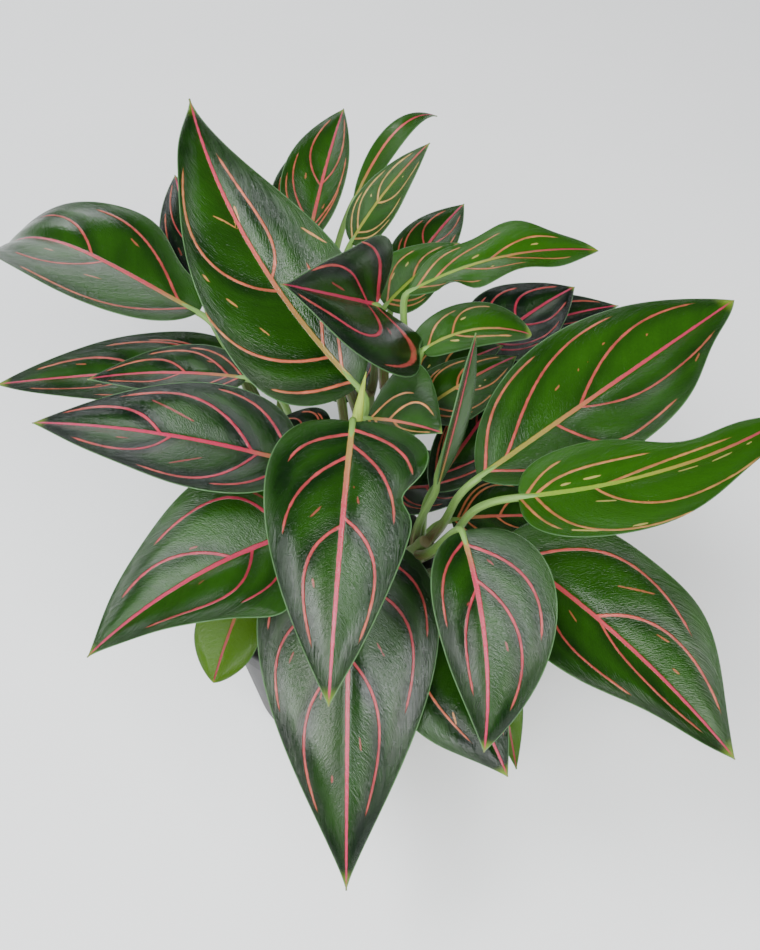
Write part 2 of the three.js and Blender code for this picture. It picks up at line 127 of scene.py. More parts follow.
# One row for each leaf: how far up its cane it grows, base and tip of its blade, and its shape.
# The first letter of the name is the letter of the cane.
LEAVES = {
    # a1's fresh is set low to darken its green: painted shade, as c1 shades it.
    "a1": (0.95, (13, 12, 168), (-42, 94, 217), dict(width=48, full=1.43, sway=-0.08, fold=14, roll=-5,
        lean=-0.04, leaves=120, lobes=((-1, 0.95, 0.65, 0.15), (-1, -0.06, 0.5, 0.26)), fresh=0.25, ripe=0.5,
        warm=0.6,
        left=((2, 120, 4, 15), (11, 108, 8, 44), (34, 100, 13, 79)),
        right=((6, 60, 10, 24), (14, 67, 14, 38), (38, 40, 6, 81)),
        strokes=((-1, 55, 3, 6, 38), (1, 57, 5, 6, 6), (1, 38, 92, 9, -13), (-1, 44, 80, 3, 5),
        (-1, 35, 60, 4, 10), (-1, 25, 45, 3, 5)))),
    "a2": (0.84, (12, -13, 180), (6, -89, 150), dict(width=44, widest=0.27, arch=0.08, lean=0.04, bend=0.12,
        leaves=-110, lobes=((-1, 0.12, 0.2, 0.1), (-1, 0.3, -0.22, 0.06)), fresh=0.2, ripe=0.34, warm=0.15,
        left=((3, 96, 6, 23), (9, 83, 14, 41), (37, 92, 16, 81)),
        right=((5, 81, 5, 20), (14, 94, 17, 47), (40, 70, 12, 83)),
        strokes=((1, 34, 27, 5, 16), (-1, 26, 14, 2, 2), (-1, 30, 24, 3, 2), (1, 58, 42, 5, -2)))),
    # a3's fresh is set low to darken its green: painted shade deep in the crown.
    "a3": (0.7, (16, 3, 163), (39, -7, 168), dict(width=30, lean=-0.5, leaves=0, bend=0.2, fresh=0.35,
        warm=1.2,
        left=((4, 60, 20, 50), (30, 60, 20, 85)), strokes=())),
    "a4": (0.45, (10, -13, 121), (9, -109, 58), dict(width=60, widest=0.25, full=1.25, arch=0.06,
        leaves=-115, bend=0.1, ripe=0.15, warm=0.1,
        left=((12, 78, 7, 51), (34, 63, 14, 80), (2, 88, 5, 30)),
        right=((16, 92, 9, 50), (34, 96, 19, 79), (3, 90, 6, 28)),
        strokes=((-1, 30, 33, 4, 10), (1, 42, 30, 4, 6), (-1, 56, 20, 4, 4), (1, 32, 60, 4, 8),
        (1, 66, 30, 3, 3)))),
    "a5": (0.6, (1, 6, 144), (-17, 14, 147), dict(width=26, leaves=185, fresh=0.1)),
    "b1": (0.95, (50, -18, 160), (136, 44, 175), dict(width=50, widest=0.42, full=0.95, arch=0.04, sway=0.02,
        leaves=40, lobes=((1, 0.85, -0.35, 0.2),), fresh=0.42, ripe=0.5, warm=0.3,
        left=((2, 90, 5, 38), (9, 94, 21, 66), (36, 95, 34, 91)),
        right=((27, 84, 3, 57), (36, 50, 10, 87), (3, 85, 8, 30)),
        strokes=((-1, 33, 36, 3, 3), (-1, 54, 52, 2.5, 3), (-1, 67, 34, 2, 1), (1, 70, 78, 4, -2),
        (-1, 43, 40, 1, 2), (-1, 47, 42, 1, 2)))),
    "b2": (0.8, (60, -33, 170), (143, -6, 175), dict(width=35, widest=0.3, full=0.85, arch=0.03, sway=0.085,
        lean=0.15, leaves=-5, lobes=((-1, 0.62, -0.42, 0.2), (1, 0.75, -0.25, 0.2)), fresh=0.95, ripe=0.85,
        warm=1.15,
        left=((2, 78, 5, 16), (5, 48, 6, 48), (27, 36, 27, 78)),
        right=((5, 97, 7, 51), (24, 73, 10, 81), (0, 95, 5, 12)),
        strokes=((-1, 20, 20, 8, 2), (-1, 13, 16, 4, 2), (1, 50, 14, 10, 6), (1, 63, 24, 9, 2),
        (1, 77, 26, 4, -2), (1, 22, 30, 8, 6), (1, 13, 86, 9, 4), (1, 30, 90, 5, 1), (1, 38, 50, 1, 1)))),
    "b3": (0.6, (57, -29, 140), (126, -88, 113), dict(width=50, arch=0.06, sway=-0.01, leaves=-45, bend=0.1,
        lobes=((-1, 0.7, 0.33, 0.24), (1, 0.7, -0.2, 0.2)), fresh=0.3, ripe=0.22, warm=0.3,
        left=((8, 93, 13, 67), (38, 93, 21, 89)),
        right=((18, 70, 10, 64), (40, 44, 18, 89), (3, 88, 8, 36)),
        strokes=((-1, 37, 45, 11, 24), (-1, 56, 34, 5, 6), (1, 30, 20, 5, 8), (-1, 66, 20, 4, 3),
        (1, 52, 74, 5, 4)))),
    "b4": (0.9, (44, -38, 160), (50, -91, 125), dict(width=36, arch=0.1, sway=-0.04, lean=-0.22, leaves=-95,
        bend=0.1, fresh=0.2, ripe=0.2, warm=0.05,
        left=((6, 84, 13, 53), (22, 78, 27, 83)),
        right=((4, 80, 7, 44), (26, 57, 15, 76)),
        strokes=((1, 30, 22, 4, 6), (-1, 50, 30, 5, 4), (-1, 15, 25, 3, 6)))),
    "b5": (0.35, (33, -23, 101), (61, -82, 86), dict(arch=0.06, curl=(0, -34), lean=0.25, bend=0.15,
        lobes=((1, 0.75, 0.2, 0.2),), warm=0.6,
        right=((10, 60, 16, 82),))),
    "b6": (0.25, (57, -38, 97), (65, -76, 78), dict(width=14, leaves=-10, fresh=1.15, warm=1.6, left=(),
        right=(), strokes=())),
    "b7": (0.75, (37, -5, 136), (76, 50, 148), dict(width=26, widest=0.4, roll=5, lean=0.2, fresh=0.1,
        warm=0.1)),
    "b8": (0.88, (38, -9, 142), (50, 24, 180), dict(width=10, widest=0.5, sway=-0.05, roll=62, fold=20,
        leaves=120, bend=0.2, fresh=0.35, warm=0.3, left=(), right=(), strokes=())),
    "b9": (0.45, (44, -8, 124), (84, -6, 122), dict(width=30, leaves=30, fresh=0.25, warm=0.8)),
    "c1": (0.97, (19, 32, 184), (-8, 9, 214), dict(width=44, widest=0.23, full=1.38, arch=0, roll=-28,
        fold=25, curl=(-44, -8), lean=-0.32, leaves=120, bend=0.12,
        lobes=((-1, 0.08, -0.5, 0.165), (1, -0.04, 1.1, 0.24)), heart=(2.4, 0.76), fresh=0.1, ripe=0.05,
        warm=0,
        left=((2, 105, 19, 42), (13, 66, 14, 92)),
        right=((0, 128, 2, 26), (11, 100, 24, 72)),
        strokes=((1, 36, 14, 17, 23), (-1, 19, 52, 3, 8)))),
    "c2": (0.88, (29, 42, 180), (90, 51, 190), dict(width=24, widest=0.47, full=0.85, arch=0.1,
        wave=(0.18, 2, 0.02, 0.1), leaves=30, bend=0.12, heart=(0.1, 0.3), lifts=((1, 0.25, 0.06, 6),),
        fresh=0.95, ripe=0.75, warm=0.95,
        left=((4, 88, 10, 34), (14, 90, 21, 55), (44, 84, 24, 83)),
        right=((5, 80, 10, 40), (30, 75, 15, 62), (52, 70, 15, 86)),
        strokes=((-1, 35, 20, 5, 5), (1, 42, 35, 5, 5), (-1, 66, 25, 5, 3)))),
    "c3": (0.76, (34, 29, 167), (69, 32, 171), dict(width=17, widest=0.4, full=0.55, arch=0.17,
        curl=(0, -60), lean=-0.3, leaves=-20, bend=0.1, heart=(0.8, 0), fresh=0.65, ripe=0.95, warm=1.1,
        left=((5, 85, 12, 40), (28, 85, 9, 68)),
        right=((30, 60, 10, 85),))),
    "c4": (0.58, (33, 17, 150), (66, 37, 156), dict(width=26, fold=8, lean=0.15, leaves=-60, fresh=0.5,
        warm=0.9, ripe=0.7)),
    "c5": (0.45, (55, 45, 150), (89, 70, 157), dict(width=34, fresh=0.05, ripe=0.05, warm=0)),
    "c6": (0.25, (46, 38, 102), (98, 70, 92), dict(width=30, arch=0.06)),
    "c7": (0.66, (30, 32, 143), (62, 43, 155), dict(width=26, leaves=70, fresh=0.3, warm=1.3)),
    "c8": (0.2, (24, 18, 106), (58, 14, 113), dict(width=30, leaves=-20, fresh=0.1)),
    "d1": (0.95, (-43, 56, 158), (-133, 118, 128), dict(width=48, widest=0.38, full=0.8, arch=0.14, hook=0.5,
        lobes=((1, 0.12, -0.35, 0.14),), fresh=0.3, ripe=0.2, warm=0.25,
        left=((3, 92, 8, 58), (37, 67, 7, 67)),
        right=((7, 93, 21, 57), (42, 92, 23, 79)),
        strokes=((-1, 30, 40, 6, 10), (1, 30, 50, 6, 6), (-1, 52, 30, 5, 4)))),
    "d2": (0.5, (-24, 25, 158), (-79, 32, 150), dict(width=23, leaves=-60)),
    "d3": (0.5, (-30, 55, 130), (-124, 59, 118), dict(width=36, full=0.95, arch=0.02, leaves=190, bend=0.1,
        fresh=0.2, warm=0.25)),
    "d4": (0.82, (-43, 71, 148), (-62, 143, 150), dict(width=24, leaves=95, fresh=0.1)),
    "d5": (0.55, (-9, 95, 158), (-9, 143, 165), dict(width=24, leaves=85, fresh=0.3)),
    "d6": (0.3, (-38, 40, 108), (-92, 66, 98), dict(width=30, arch=0.06)),
    "e1": (0.8, (-7, -32, 150), (-68, -63, 130), dict(width=51, widest=0.25, full=1.2, sway=0.035, lean=0.19,
        lobes=((1, 0.58, -0.15, 0.33), (-1, 0.08, 0.5, 0.22)), fresh=0.35, ripe=0.08, warm=0,
        left=((2, 90, 4, 31), (17, 71, 6, 74)),
        right=((1, 67, 6, 55), (26, 82, 39, 77)),
        strokes=((1, 2, 72, 13, 12), (1, 36, 30, 5, 6), (-1, 40, 20, 4, 4)))),
    "e2": (0.96, (-6, -11, 158), (-90, 4, 160), dict(width=42, widest=0.3, fresh=0.08, ripe=0.2, warm=0,
        left=((14, 90, 9, 55), (46, 78, 9, 83), (2, 85, 6, 28)),
        right=((1, 93, 9, 36), (16, 93, 18, 71), (50, 90, 18, 91)),
        strokes=((1, 38, 27, 20, 43), (-1, 32, 37, 11, 30), (-1, 60, 30, 5, 5)))),
    "e3": (0.4, (-26, -20, 100), (-37, -47, 83), dict(width=24, widest=0.45, full=0.8, fresh=1.2, ripe=0.4,
        warm=0.7, left=(), right=(),
        strokes=((1, 30, 45, 4, 5),))),
    "f1": (0.55, (10, 108, 164), (41, 133, 184), dict(width=9, widest=0.45, arch=0.3, sway=-0.07, hook=0.8,
        roll=25, lean=0.2, leaves=120, fresh=0.5, warm=0.9, left=(), right=(), strokes=())),
    "f2": (0.75, (10, 81, 168), (37, 97, 198), dict(width=22, lean=0.2, leaves=90, fresh=0.55, ripe=0.95,
        warm=1.5)),
    "f3": (0.65, (28, 70, 160), (51, 106, 165), dict(width=22, leaves=20, fresh=0.4)),
    "f4": (0.45, (60, 52, 148), (106, 70, 148), dict(width=24, leaves=0, fresh=0.1, warm=0.1)),
    "f5": (0.3, (6, 64, 102), (1, 118, 93), dict(width=30, arch=0.07)),
    "f6": (0.95, (22, 54, 163), (47, 69, 178), dict(width=26, leaves=65, fresh=0.85, ripe=0.9, warm=1.1,
        left=((1, 90, 30, 64), (40, 71, 30, 87)))),
    "f7": (0.85, (-6, 89, 161), (6, 151, 175), dict(width=24, widest=0.4, lean=-0.25, leaves=150, fresh=0.45,
        ripe=0.2, warm=0.3)),
}


def colour(name, description, value):
    """A colour that the user can change."""
    return FloatVectorProperty(name=name, description=description, default=value,
                               size=3, min=0, max=1, subtype="COLOR")


def length(name, description, value, most):
    """A length that the user can change, in metres."""
    return FloatProperty(name=name, description=description, default=value,
                         min=0, max=most, precision=5, subtype="DISTANCE", unit="LENGTH")


def share(name, description, value, most=1):
    """A plain number that the user can change."""
    return FloatProperty(name=name, description=description, default=value, min=0, max=most)


class LeafSettings(bpy.types.PropertyGroup):
    """Sizes and colours of the leaves."""
    thickness: length("Blade thickness", "Thickness of a blade beside its midrib", 0.0005, 0.002)
    quilting: length("Quilting", "How far the blade rises between its veins", 0.0005, 0.002)
    vein_width: length("Vein width", "Width of a side vein where it leaves the midrib", 0.0009, 0.004)
    rib_width: length("Midrib width", "Width of the midrib near the base", 0.0019, 0.005)
    dark: colour("Mature green", "Upper face of a mature leaf", (0.0010, 0.0070, 0.0018))
    fresh: colour("Young green", "Upper face of a young leaf", (0.026, 0.114, 0.0036))
    lime: colour("Lime", "Tips, and the base of the midrib", (0.270, 0.450, 0.035))
    under: colour("Underside", "Lower face of the blade", (0.070, 0.170, 0.040))
    under_vein: colour("Underside veins", "Veins seen on the lower face", (0.300, 0.240, 0.120))
    margin: colour("Margin", "Thin pale line along the blade's margin", (0.110, 0.240, 0.090))
    tan: colour("Tan", "Lower part of a mature leaf's midrib", (0.320, 0.130, 0.060))
    coral: colour("Coral", "Side veins of a mature leaf", (0.400, 0.026, 0.058))
    pink: colour("Pink", "Midrib of a mature leaf", (0.480, 0.022, 0.090))
    peach: colour("Peach", "Veins of a younger leaf", (0.620, 0.190, 0.075))
    cream: colour("Cream", "Veins of the youngest leaves", (0.520, 0.450, 0.120))
    roughness: share("Roughness", "Roughness of the waxy upper face", 0.13)


class StemSettings(bpy.types.PropertyGroup):
    """Sizes and colours of the stalks, the canes and the rolled leaf."""
    cane_radius: length("Cane radius", "Radius of a cane at its foot", 0.0042, 0.01)
    stalk_foot: length("Stalk foot radius", "Radius of a stalk at the cane", 0.0019, 0.006)
    stalk_head: length("Stalk head radius", "Radius of a stalk at the blade", 0.00115, 0.004)
    spear_radius: length("Rolled leaf radius", "Radius of the rolled leaf", 0.0022, 0.005)
    stalk: colour("Stalk green", "Colour of the stalks", (0.150, 0.285, 0.055))
    sheath: colour("Sheath green", "Foot of a stalk, where it clasps the cane", (0.100, 0.190, 0.040))
    torn: colour("Torn sheath", "Dry, torn edges of the sheaths", (0.120, 0.060, 0.028))
    cane: colour("Cane green", "Upper part of the canes", (0.130, 0.200, 0.050))
    bark: colour("Cane tan", "Lower part of the canes and their rings", (0.230, 0.165, 0.085))
    spear: colour("Rolled leaf", "Colour of the rolled leaf", (0.400, 0.560, 0.070))


class PotSettings(bpy.types.PropertyGroup):
    """Sizes and colours of the pot and the potting mix."""
    height: length("Pot height", "Height of the pot", 0.080, 0.3)
    base_radius: length("Base radius", "Radius of the pot's underside", 0.032, 0.2)
    rim_radius: length("Rim radius", "Radius of the pot's rim", 0.043, 0.2)
    wall: length("Wall", "Thickness of the pot's wall", 0.0018, 0.01)
    plastic: colour("Pot", "Moulded pot", (0.024, 0.023, 0.024))
    film: colour("Film", "Dried film near the pot's foot", (0.160, 0.135, 0.110))
    scuff: colour("Scuffs", "Faint scuffs on the pot", (0.120, 0.120, 0.120))
    peat: colour("Peat", "Damp potting mix", (0.030, 0.018, 0.011))
    bark: colour("Bark", "Chips of bark in the mix", (0.120, 0.062, 0.030))
    perlite: colour("Perlite", "Light grains in the mix", (0.620, 0.590, 0.530))
    grains: IntProperty(name="Grains", description="Grains lying on the mix", default=1300, min=0, max=4000)


class StageSettings(bpy.types.PropertyGroup):
    """Floor, lights and camera."""
    floor: colour("Floor", "Plain pale floor", (0.930, 0.935, 0.940))
    back_window: share("Back window", "Power of the wide light behind the plant, in watts", 9, 500)
    front_window: share("Front window", "Power of the light above and before the plant, in watts", 27, 500)
    left_window: share("Left window", "Power of the light above the plant on the left, in watts", 13, 500)
    front_fill: share("Fill light", "Power of the light from the front, in watts", 50, 500)
    sky: share("Sky", "Strength of the even light from all round", 0.14, 5)


class PlantSettings(bpy.types.PropertyGroup):
    """All settings of the plant."""
    leaf: PointerProperty(type=LeafSettings)
    stem: PointerProperty(type=StemSettings)
    pot: PointerProperty(type=PotSettings)
    stage: PointerProperty(type=StageSettings)


def in_mm(look, *keys):
    """These lengths of the settings, in millimetres."""
    return [getattr(look, key) / MM for key in keys]


# Vectors and curves

def unit(v):
    """Each vector divided by its length."""
    return v / np.linalg.norm(v, axis=-1, keepdims=True)


def bezier(points, t):
    """Points of the curve: the control points weighted by the Bernstein polynomials of t."""
    points = np.asarray(points, float)
    n = len(points) - 1
    weights = [math.comb(n, k) * t ** k * (1 - t) ** (n - k) for k in range(n + 1)]
    return np.stack(weights, axis=-1) @ points


def slope(points, t):
    """Directions of the curve: the same curve through the steps between the control points."""
    return unit(bezier(np.diff(np.asarray(points, float), axis=0), t))


def even(points, count):
    """A polyline of count points at equal distances along the given one."""
    gone = np.concatenate([[0], np.cumsum(np.linalg.norm(np.diff(points, axis=0), axis=1))])
    wanted = np.linspace(0, gone[-1], count)
    return np.stack([np.interp(wanted, gone, points[:, k]) for k in range(3)], axis=1)


def smooth(x, low, high):
    """0 below low, 1 above high, and 3u*u - 2u*u*u between."""
    u = np.clip((x - low) / (high - low), 0, 1)
    return u * u * (3 - 2 * u)


def bell(x, spread):
    """exp(-(x / spread)^2): 1 in the middle, fading on both sides."""
    return np.exp(-(x / spread) ** 2)


def circle(sides):
    """The angles of a round section."""
    return TURN * np.arange(sides) / sides


# Meshes

def grid_faces(rows, columns, around=True):
    """Quads of a grid of points, row by row. Where around is true, the last column joins the first."""
    i = np.arange(rows - 1)[:, None] * columns
    j = np.arange(columns if around else columns - 1)[None, :]
    k = (j + 1) % columns
    return np.stack([i + j, i + k, i + columns + k, i + columns + j], axis=-1).reshape(-1, 4).tolist()


def mesh_object(name, parts, materials, attributes=(), weld=0):
    """One object from parts, each a tuple of points in millimetres, faces, a material's number and values.

    The values give each attribute's vector for each point, and parts without them get zeros.
    """
    points, faces, numbers = [], [], []
    values = {key: [] for key in attributes}
    start = 0
    for place, corners, number, given in parts:
        place = np.asarray(place, float).reshape(-1, 3)
        points.append(place * MM)
        faces += [[c + start for c in face] for face in corners]
        numbers += [number] * len(corners)
        for key in attributes:
            values[key].append(np.asarray(given.get(key, np.zeros((len(place), 3)))).reshape(-1, 3))
        start += len(place)
    mesh = bpy.data.meshes.new(name)
    mesh.from_pydata(np.concatenate(points).tolist(), [], faces)
    for key in attributes:
        data = np.concatenate(values[key]).astype(np.float32)
        mesh.attributes.new(key, "FLOAT_VECTOR", "POINT").data.foreach_set("vector", data.ravel())
    mesh.polygons.foreach_set("material_index", np.array(numbers, np.int32))
    if weld:
        shell = bmesh.new()
        shell.from_mesh(mesh)
        bmesh.ops.remove_doubles(shell, verts=shell.verts, dist=weld)
        bmesh.ops.recalc_face_normals(shell, faces=shell.faces)
        shell.to_mesh(mesh)
        shell.free()
    mesh.polygons.foreach_set("use_smooth", np.ones(len(mesh.polygons), bool))
    mesh.update()
    if mesh.validate():
        raise RuntimeError(f"the mesh of {name} isn't sound")
    for material in materials:
        mesh.materials.append(material)
    thing = bpy.data.objects.new(name, mesh)
    bpy.context.scene.collection.objects.link(thing)
    return thing


def dress(thing, slot, *nodes):
    """The piece rides on the plant's body and stands for these solids, which are hidden. The slot is not
    used.
    """
    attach(thing, "root")
    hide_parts(*nodes)


def rod(points, radius, up, sides, section):
    """A closed round skin around a polyline, its faces and the angles of its sections.

    Each ring is centre + r (cos a * n + sin a * b), where n is up made square to the curve and
    b = direction x n. The radius is given for each ring, and the section multiplies it for each place
    along, 0 to 1, and each angle.
    """
    along = unit(np.gradient(points, axis=0))
    n = unit(up - along * np.sum(up * along, axis=1, keepdims=True))
    b = np.cross(along, n)
    angle = circle(sides)
    r = radius[:, None] * section(np.linspace(0, 1, len(points))[:, None], angle[None, :])
    ring = points[:, None] + r[..., None] * (np.cos(angle)[None, :, None] * n[:, None]
                                             + np.sin(angle)[None, :, None] * b[:, None])
    ends = [list(range(sides))[::-1], list(range((len(points) - 1) * sides, len(points) * sides))]
    return ring, grid_faces(len(points), sides) + ends, angle


def along_values(s, angle, seed):
    """What a rod's points carry: the place along it, the share of the turn round it, and its seed."""
    return {"along": np.stack(np.broadcast_arrays(s[:, None], angle[None, :] / TURN, float(seed)), axis=-1)}


# The leaf's surface

def leaf_row(name):
    """The leaf's row with the plain values filled in, and its veins and dashes as shares."""
    place, base, tip, shape = LEAVES[name]
    row = {**PLAIN_LEAF, **shape, "place": place, "base": np.array(base, float),
           "tip": np.array(tip, float), "cane": CANES[name[0]]}
    for key in ("left", "right"):
        if row[key] is not None:
            row[key] = [tuple(n / 100 for n in vein) for vein in row[key]]
    if row["strokes"] is not None:
        row["strokes"] = [(side, *(n / 100 for n in rest)) for side, *rest in row["strokes"]]
    return row


def leaf_spine(row):
    """The midrib's cubic curve, which rises off the chord by the arch and bows by the sway, and its side."""
    chord = row["tip"] - row["base"]
    size = np.linalg.norm(chord)
    chord = chord / size
    up = unit(np.array([0, 0, 1]) - chord * chord[2])
    right = np.cross(chord, up)
    roll = math.radians(row["roll"])
    face = up * math.cos(roll) + right * math.sin(roll)
    side = right * math.cos(roll) - up * math.sin(roll)
    rise = 4 / 3 * row["arch"] * size
    drift = side * 4 / 3 * row["sway"] * size
    near = row["base"] + chord * size / 3 + face * rise * (1 - row["hook"]) + drift
    far = row["base"] + chord * size * 2 / 3 + face * rise * (1 + row["hook"]) + drift
    return np.array([row["base"], near, far, row["tip"]]), side, size


def plain_reach(row, t, sign):
    """How far one half reaches at t, without its lobes.

    It is half the width times (t/m)^a ((1-t)/(1-m))^b, which is 1 at the widest place m, times 1 + lean on
    the right or 1 - lean on the left.
    """
    m, b = row["widest"], row["full"]
    a = b * m / (1 - m)
    t = np.clip(t, 0, 1)
    half = np.maximum(row["width"] / 2 * (t / m) ** a * ((1 - t) / (1 - m)) ** b, LEAST_REACH)
    return half * (1 + row["lean"] * sign)


def reach_at(row, t, v):
    """How far the half that v lies on reaches at t, with its lean and its lobes."""
    sign = np.sign(v)
    lobe = 1 + sum(np.where(sign == side, amount * bell(t - place, spread), 0)
                   for side, place, amount, spread in row["lobes"])
    return plain_reach(row, t, sign) * lobe


def blade_surface(row, t, v):
    """Middle surface of the blade and its normal.

    From the midrib, a point lies reach * |v| out along a direction that rises by fold and curl, and is
    lifted by the margin's waves: reach * height * v * v * sin(2 pi (count * t + phase)) * sqrt(sin pi t).
    Each local rise adds height * reach / (width / 2) * |v|^3 * exp(-((t - place) / spread)^2), and the
    base sweeps back by reach * heart * v * v * (1 - t)^4.
    """
    spine, side, _ = leaf_spine(row)
    middle = bezier(spine, t)
    along = slope(spine, t)
    across = unit(side - along * (along @ side)[..., None])
    normal = np.cross(across, along)
    sign = np.sign(v)
    out = np.abs(v)
    reach = reach_at(row, t, v)
    curl = np.where(v < 0, *row["curl"])
    rise = np.radians(row["fold"] + curl * out / 2)
    height, count, left, right = row["wave"]
    phase = TURN * (count * t + np.where(v < 0, left, right))
    ripple = reach * height * out ** 2 * np.sin(phase) * np.sqrt(np.sin(np.pi * np.clip(t, 0, 1)))
    lift = ripple + reach / (row["width"] / 2) * out ** 3 * sum(
        np.where(sign == half, high * bell(t - place, spread), 0)
        for half, place, spread, high in row["lifts"])
    swept = reach * np.where(v < 0, *row["heart"]) * out ** 2 * (1 - t) ** 4
    point = middle + across * (sign * reach * out * np.cos(rise))[..., None] \
        + normal * (reach * out * np.sin(rise) + lift)[..., None] - along * swept[..., None]
    tilt = sign * rise
    normal = normal * np.cos(tilt)[..., None] - across * np.sin(tilt)[..., None]
    return point, normal, reach


def vein_line(row, vein, side, size):
    """A side vein in the flattened blade: v = most (1 - exp(-(t - start) / quick)), in millimetres.

    The curve is followed on to the tip and straight back before its start. Its t comes with it.
    """
    start, most, quick, _ = vein
    t = start + (1 - start) * np.linspace(0, 1, 64) ** 1.4
    v = side * most * (1 - np.exp(-(t - start) / quick))
    line = np.stack([t * size, v * plain_reach(row, t, side)], axis=1)
    back = line[0] - 6 * unit(line[1] - line[0])
    return np.vstack([back, line]), np.concatenate([[start], t])


def nearest(chart, line):
    """Signed distance from each point of the flattened blade to a polyline, and the place on it, 0 to 1.

    The sign is that of the cross product of the nearest step's direction and the way to the point.
    """
    a, b = line[:-1], line[1:]
    step = b - a
    u = np.einsum("...k,nk->...n", chart, step) - np.sum(a * step, axis=1)
    u = np.clip(u / np.maximum(np.sum(step * step, axis=1), 1e-12), 0, 1)
    gap = np.linalg.norm(chart[..., None, :] - (a + u[..., None] * step), axis=-1)
    k = np.argmin(gap, axis=-1)
    away = chart - a[k]
    cross = step[k, 0] * away[..., 1] - step[k, 1] * away[..., 0]
    u, gap = (np.take_along_axis(values, k[..., None], -1)[..., 0] for values in (u, gap))
    return np.copysign(gap, cross), (k + u) / len(a)


def vein_field(row, veins, side, t, v, size, width):
    """Each point's signed distances to the three side veins of one half, and their half-widths there.

    A half-width goes down to less than nothing past the vein's end, so that the vein stops there.
    """
    u = np.clip(v * side, 0, 1)
    out = u * reach_at(row, t, side * np.maximum(u, 1e-6))
    chart = np.stack([t * size, side * out], axis=-1)
    gaps = np.full((*u.shape, 3), FAR)
    wides = np.zeros((*u.shape, 3))
    for k, vein in enumerate(veins):
        line, line_t = vein_line(row, vein, side, size)
        gaps[..., k], place = nearest(chart, line)
        near_t = np.interp(place, np.linspace(0, 1, len(line_t)), line_t)
        along = np.clip((near_t - vein[0]) / (vein[3] - vein[0]), 0, 1)
        ending = smooth(1 - along, 0, 0.12)
        wides[..., k] = width / 2 * (1 - 0.35 * along) * np.sqrt(ending) - 0.3 * (1 - ending)
    return gaps, wides


def stroke_field(row, strokes, t, v, size):
    """The same for the short dashes: signed distance to the nearest one, and its half-width there."""
    chart = np.stack([t * size, v * reach_at(row, t, v)], axis=-1)
    signed = np.full(t.shape, FAR)
    wide = np.full(t.shape, -1.0)
    for side, along, out, far, drift in strokes:
        ends_t = np.array([along, along + far])
        ends_v = side * np.array([out, out + drift])
        line = np.stack([ends_t * size, ends_v * reach_at(row, ends_t, ends_v)], axis=1)
        line = line[0] + (line[1] - line[0]) * np.linspace(0, 1, 5)[:, None]
        gap, place = nearest(chart, line)
        closer = np.abs(gap) < np.abs(signed)
        beside = (np.abs(gap) < 1.7) & (place > 0) & (place < 1)
        pointed = DASH_HALF * np.sqrt(np.clip(4 * place * (1 - place), 0, 1))
        signed = np.where(closer, gap, signed)
        wide = np.where(closer, np.where(beside, pointed, -0.6), wide)
    return signed, wide


def veins_of(row, seed):
    """The leaf's own veins and dashes, or the usual ones shifted a little at random."""
    rng = np.random.default_rng(seed)
    usual = [[tuple(np.array(vein) + VEIN_SHIFT * rng.uniform(-1, 1, 4)) for vein in USUAL_VEINS]
             for _ in (0, 1)]
    left = usual[0] if row["left"] is None else row["left"]
    right = usual[1] if row["right"] is None else row["right"]
    dashes = row["strokes"]
    if dashes is None:
        count = rng.integers(1, 4)
        dashes = [(rng.choice([-1, 1]), rng.uniform(0.2, 0.66), rng.uniform(0.25, 0.45),
                   rng.uniform(0.04, 0.09), rng.uniform(0.03, 0.08)) for _ in range(count)]
    return left, right, dashes, rng


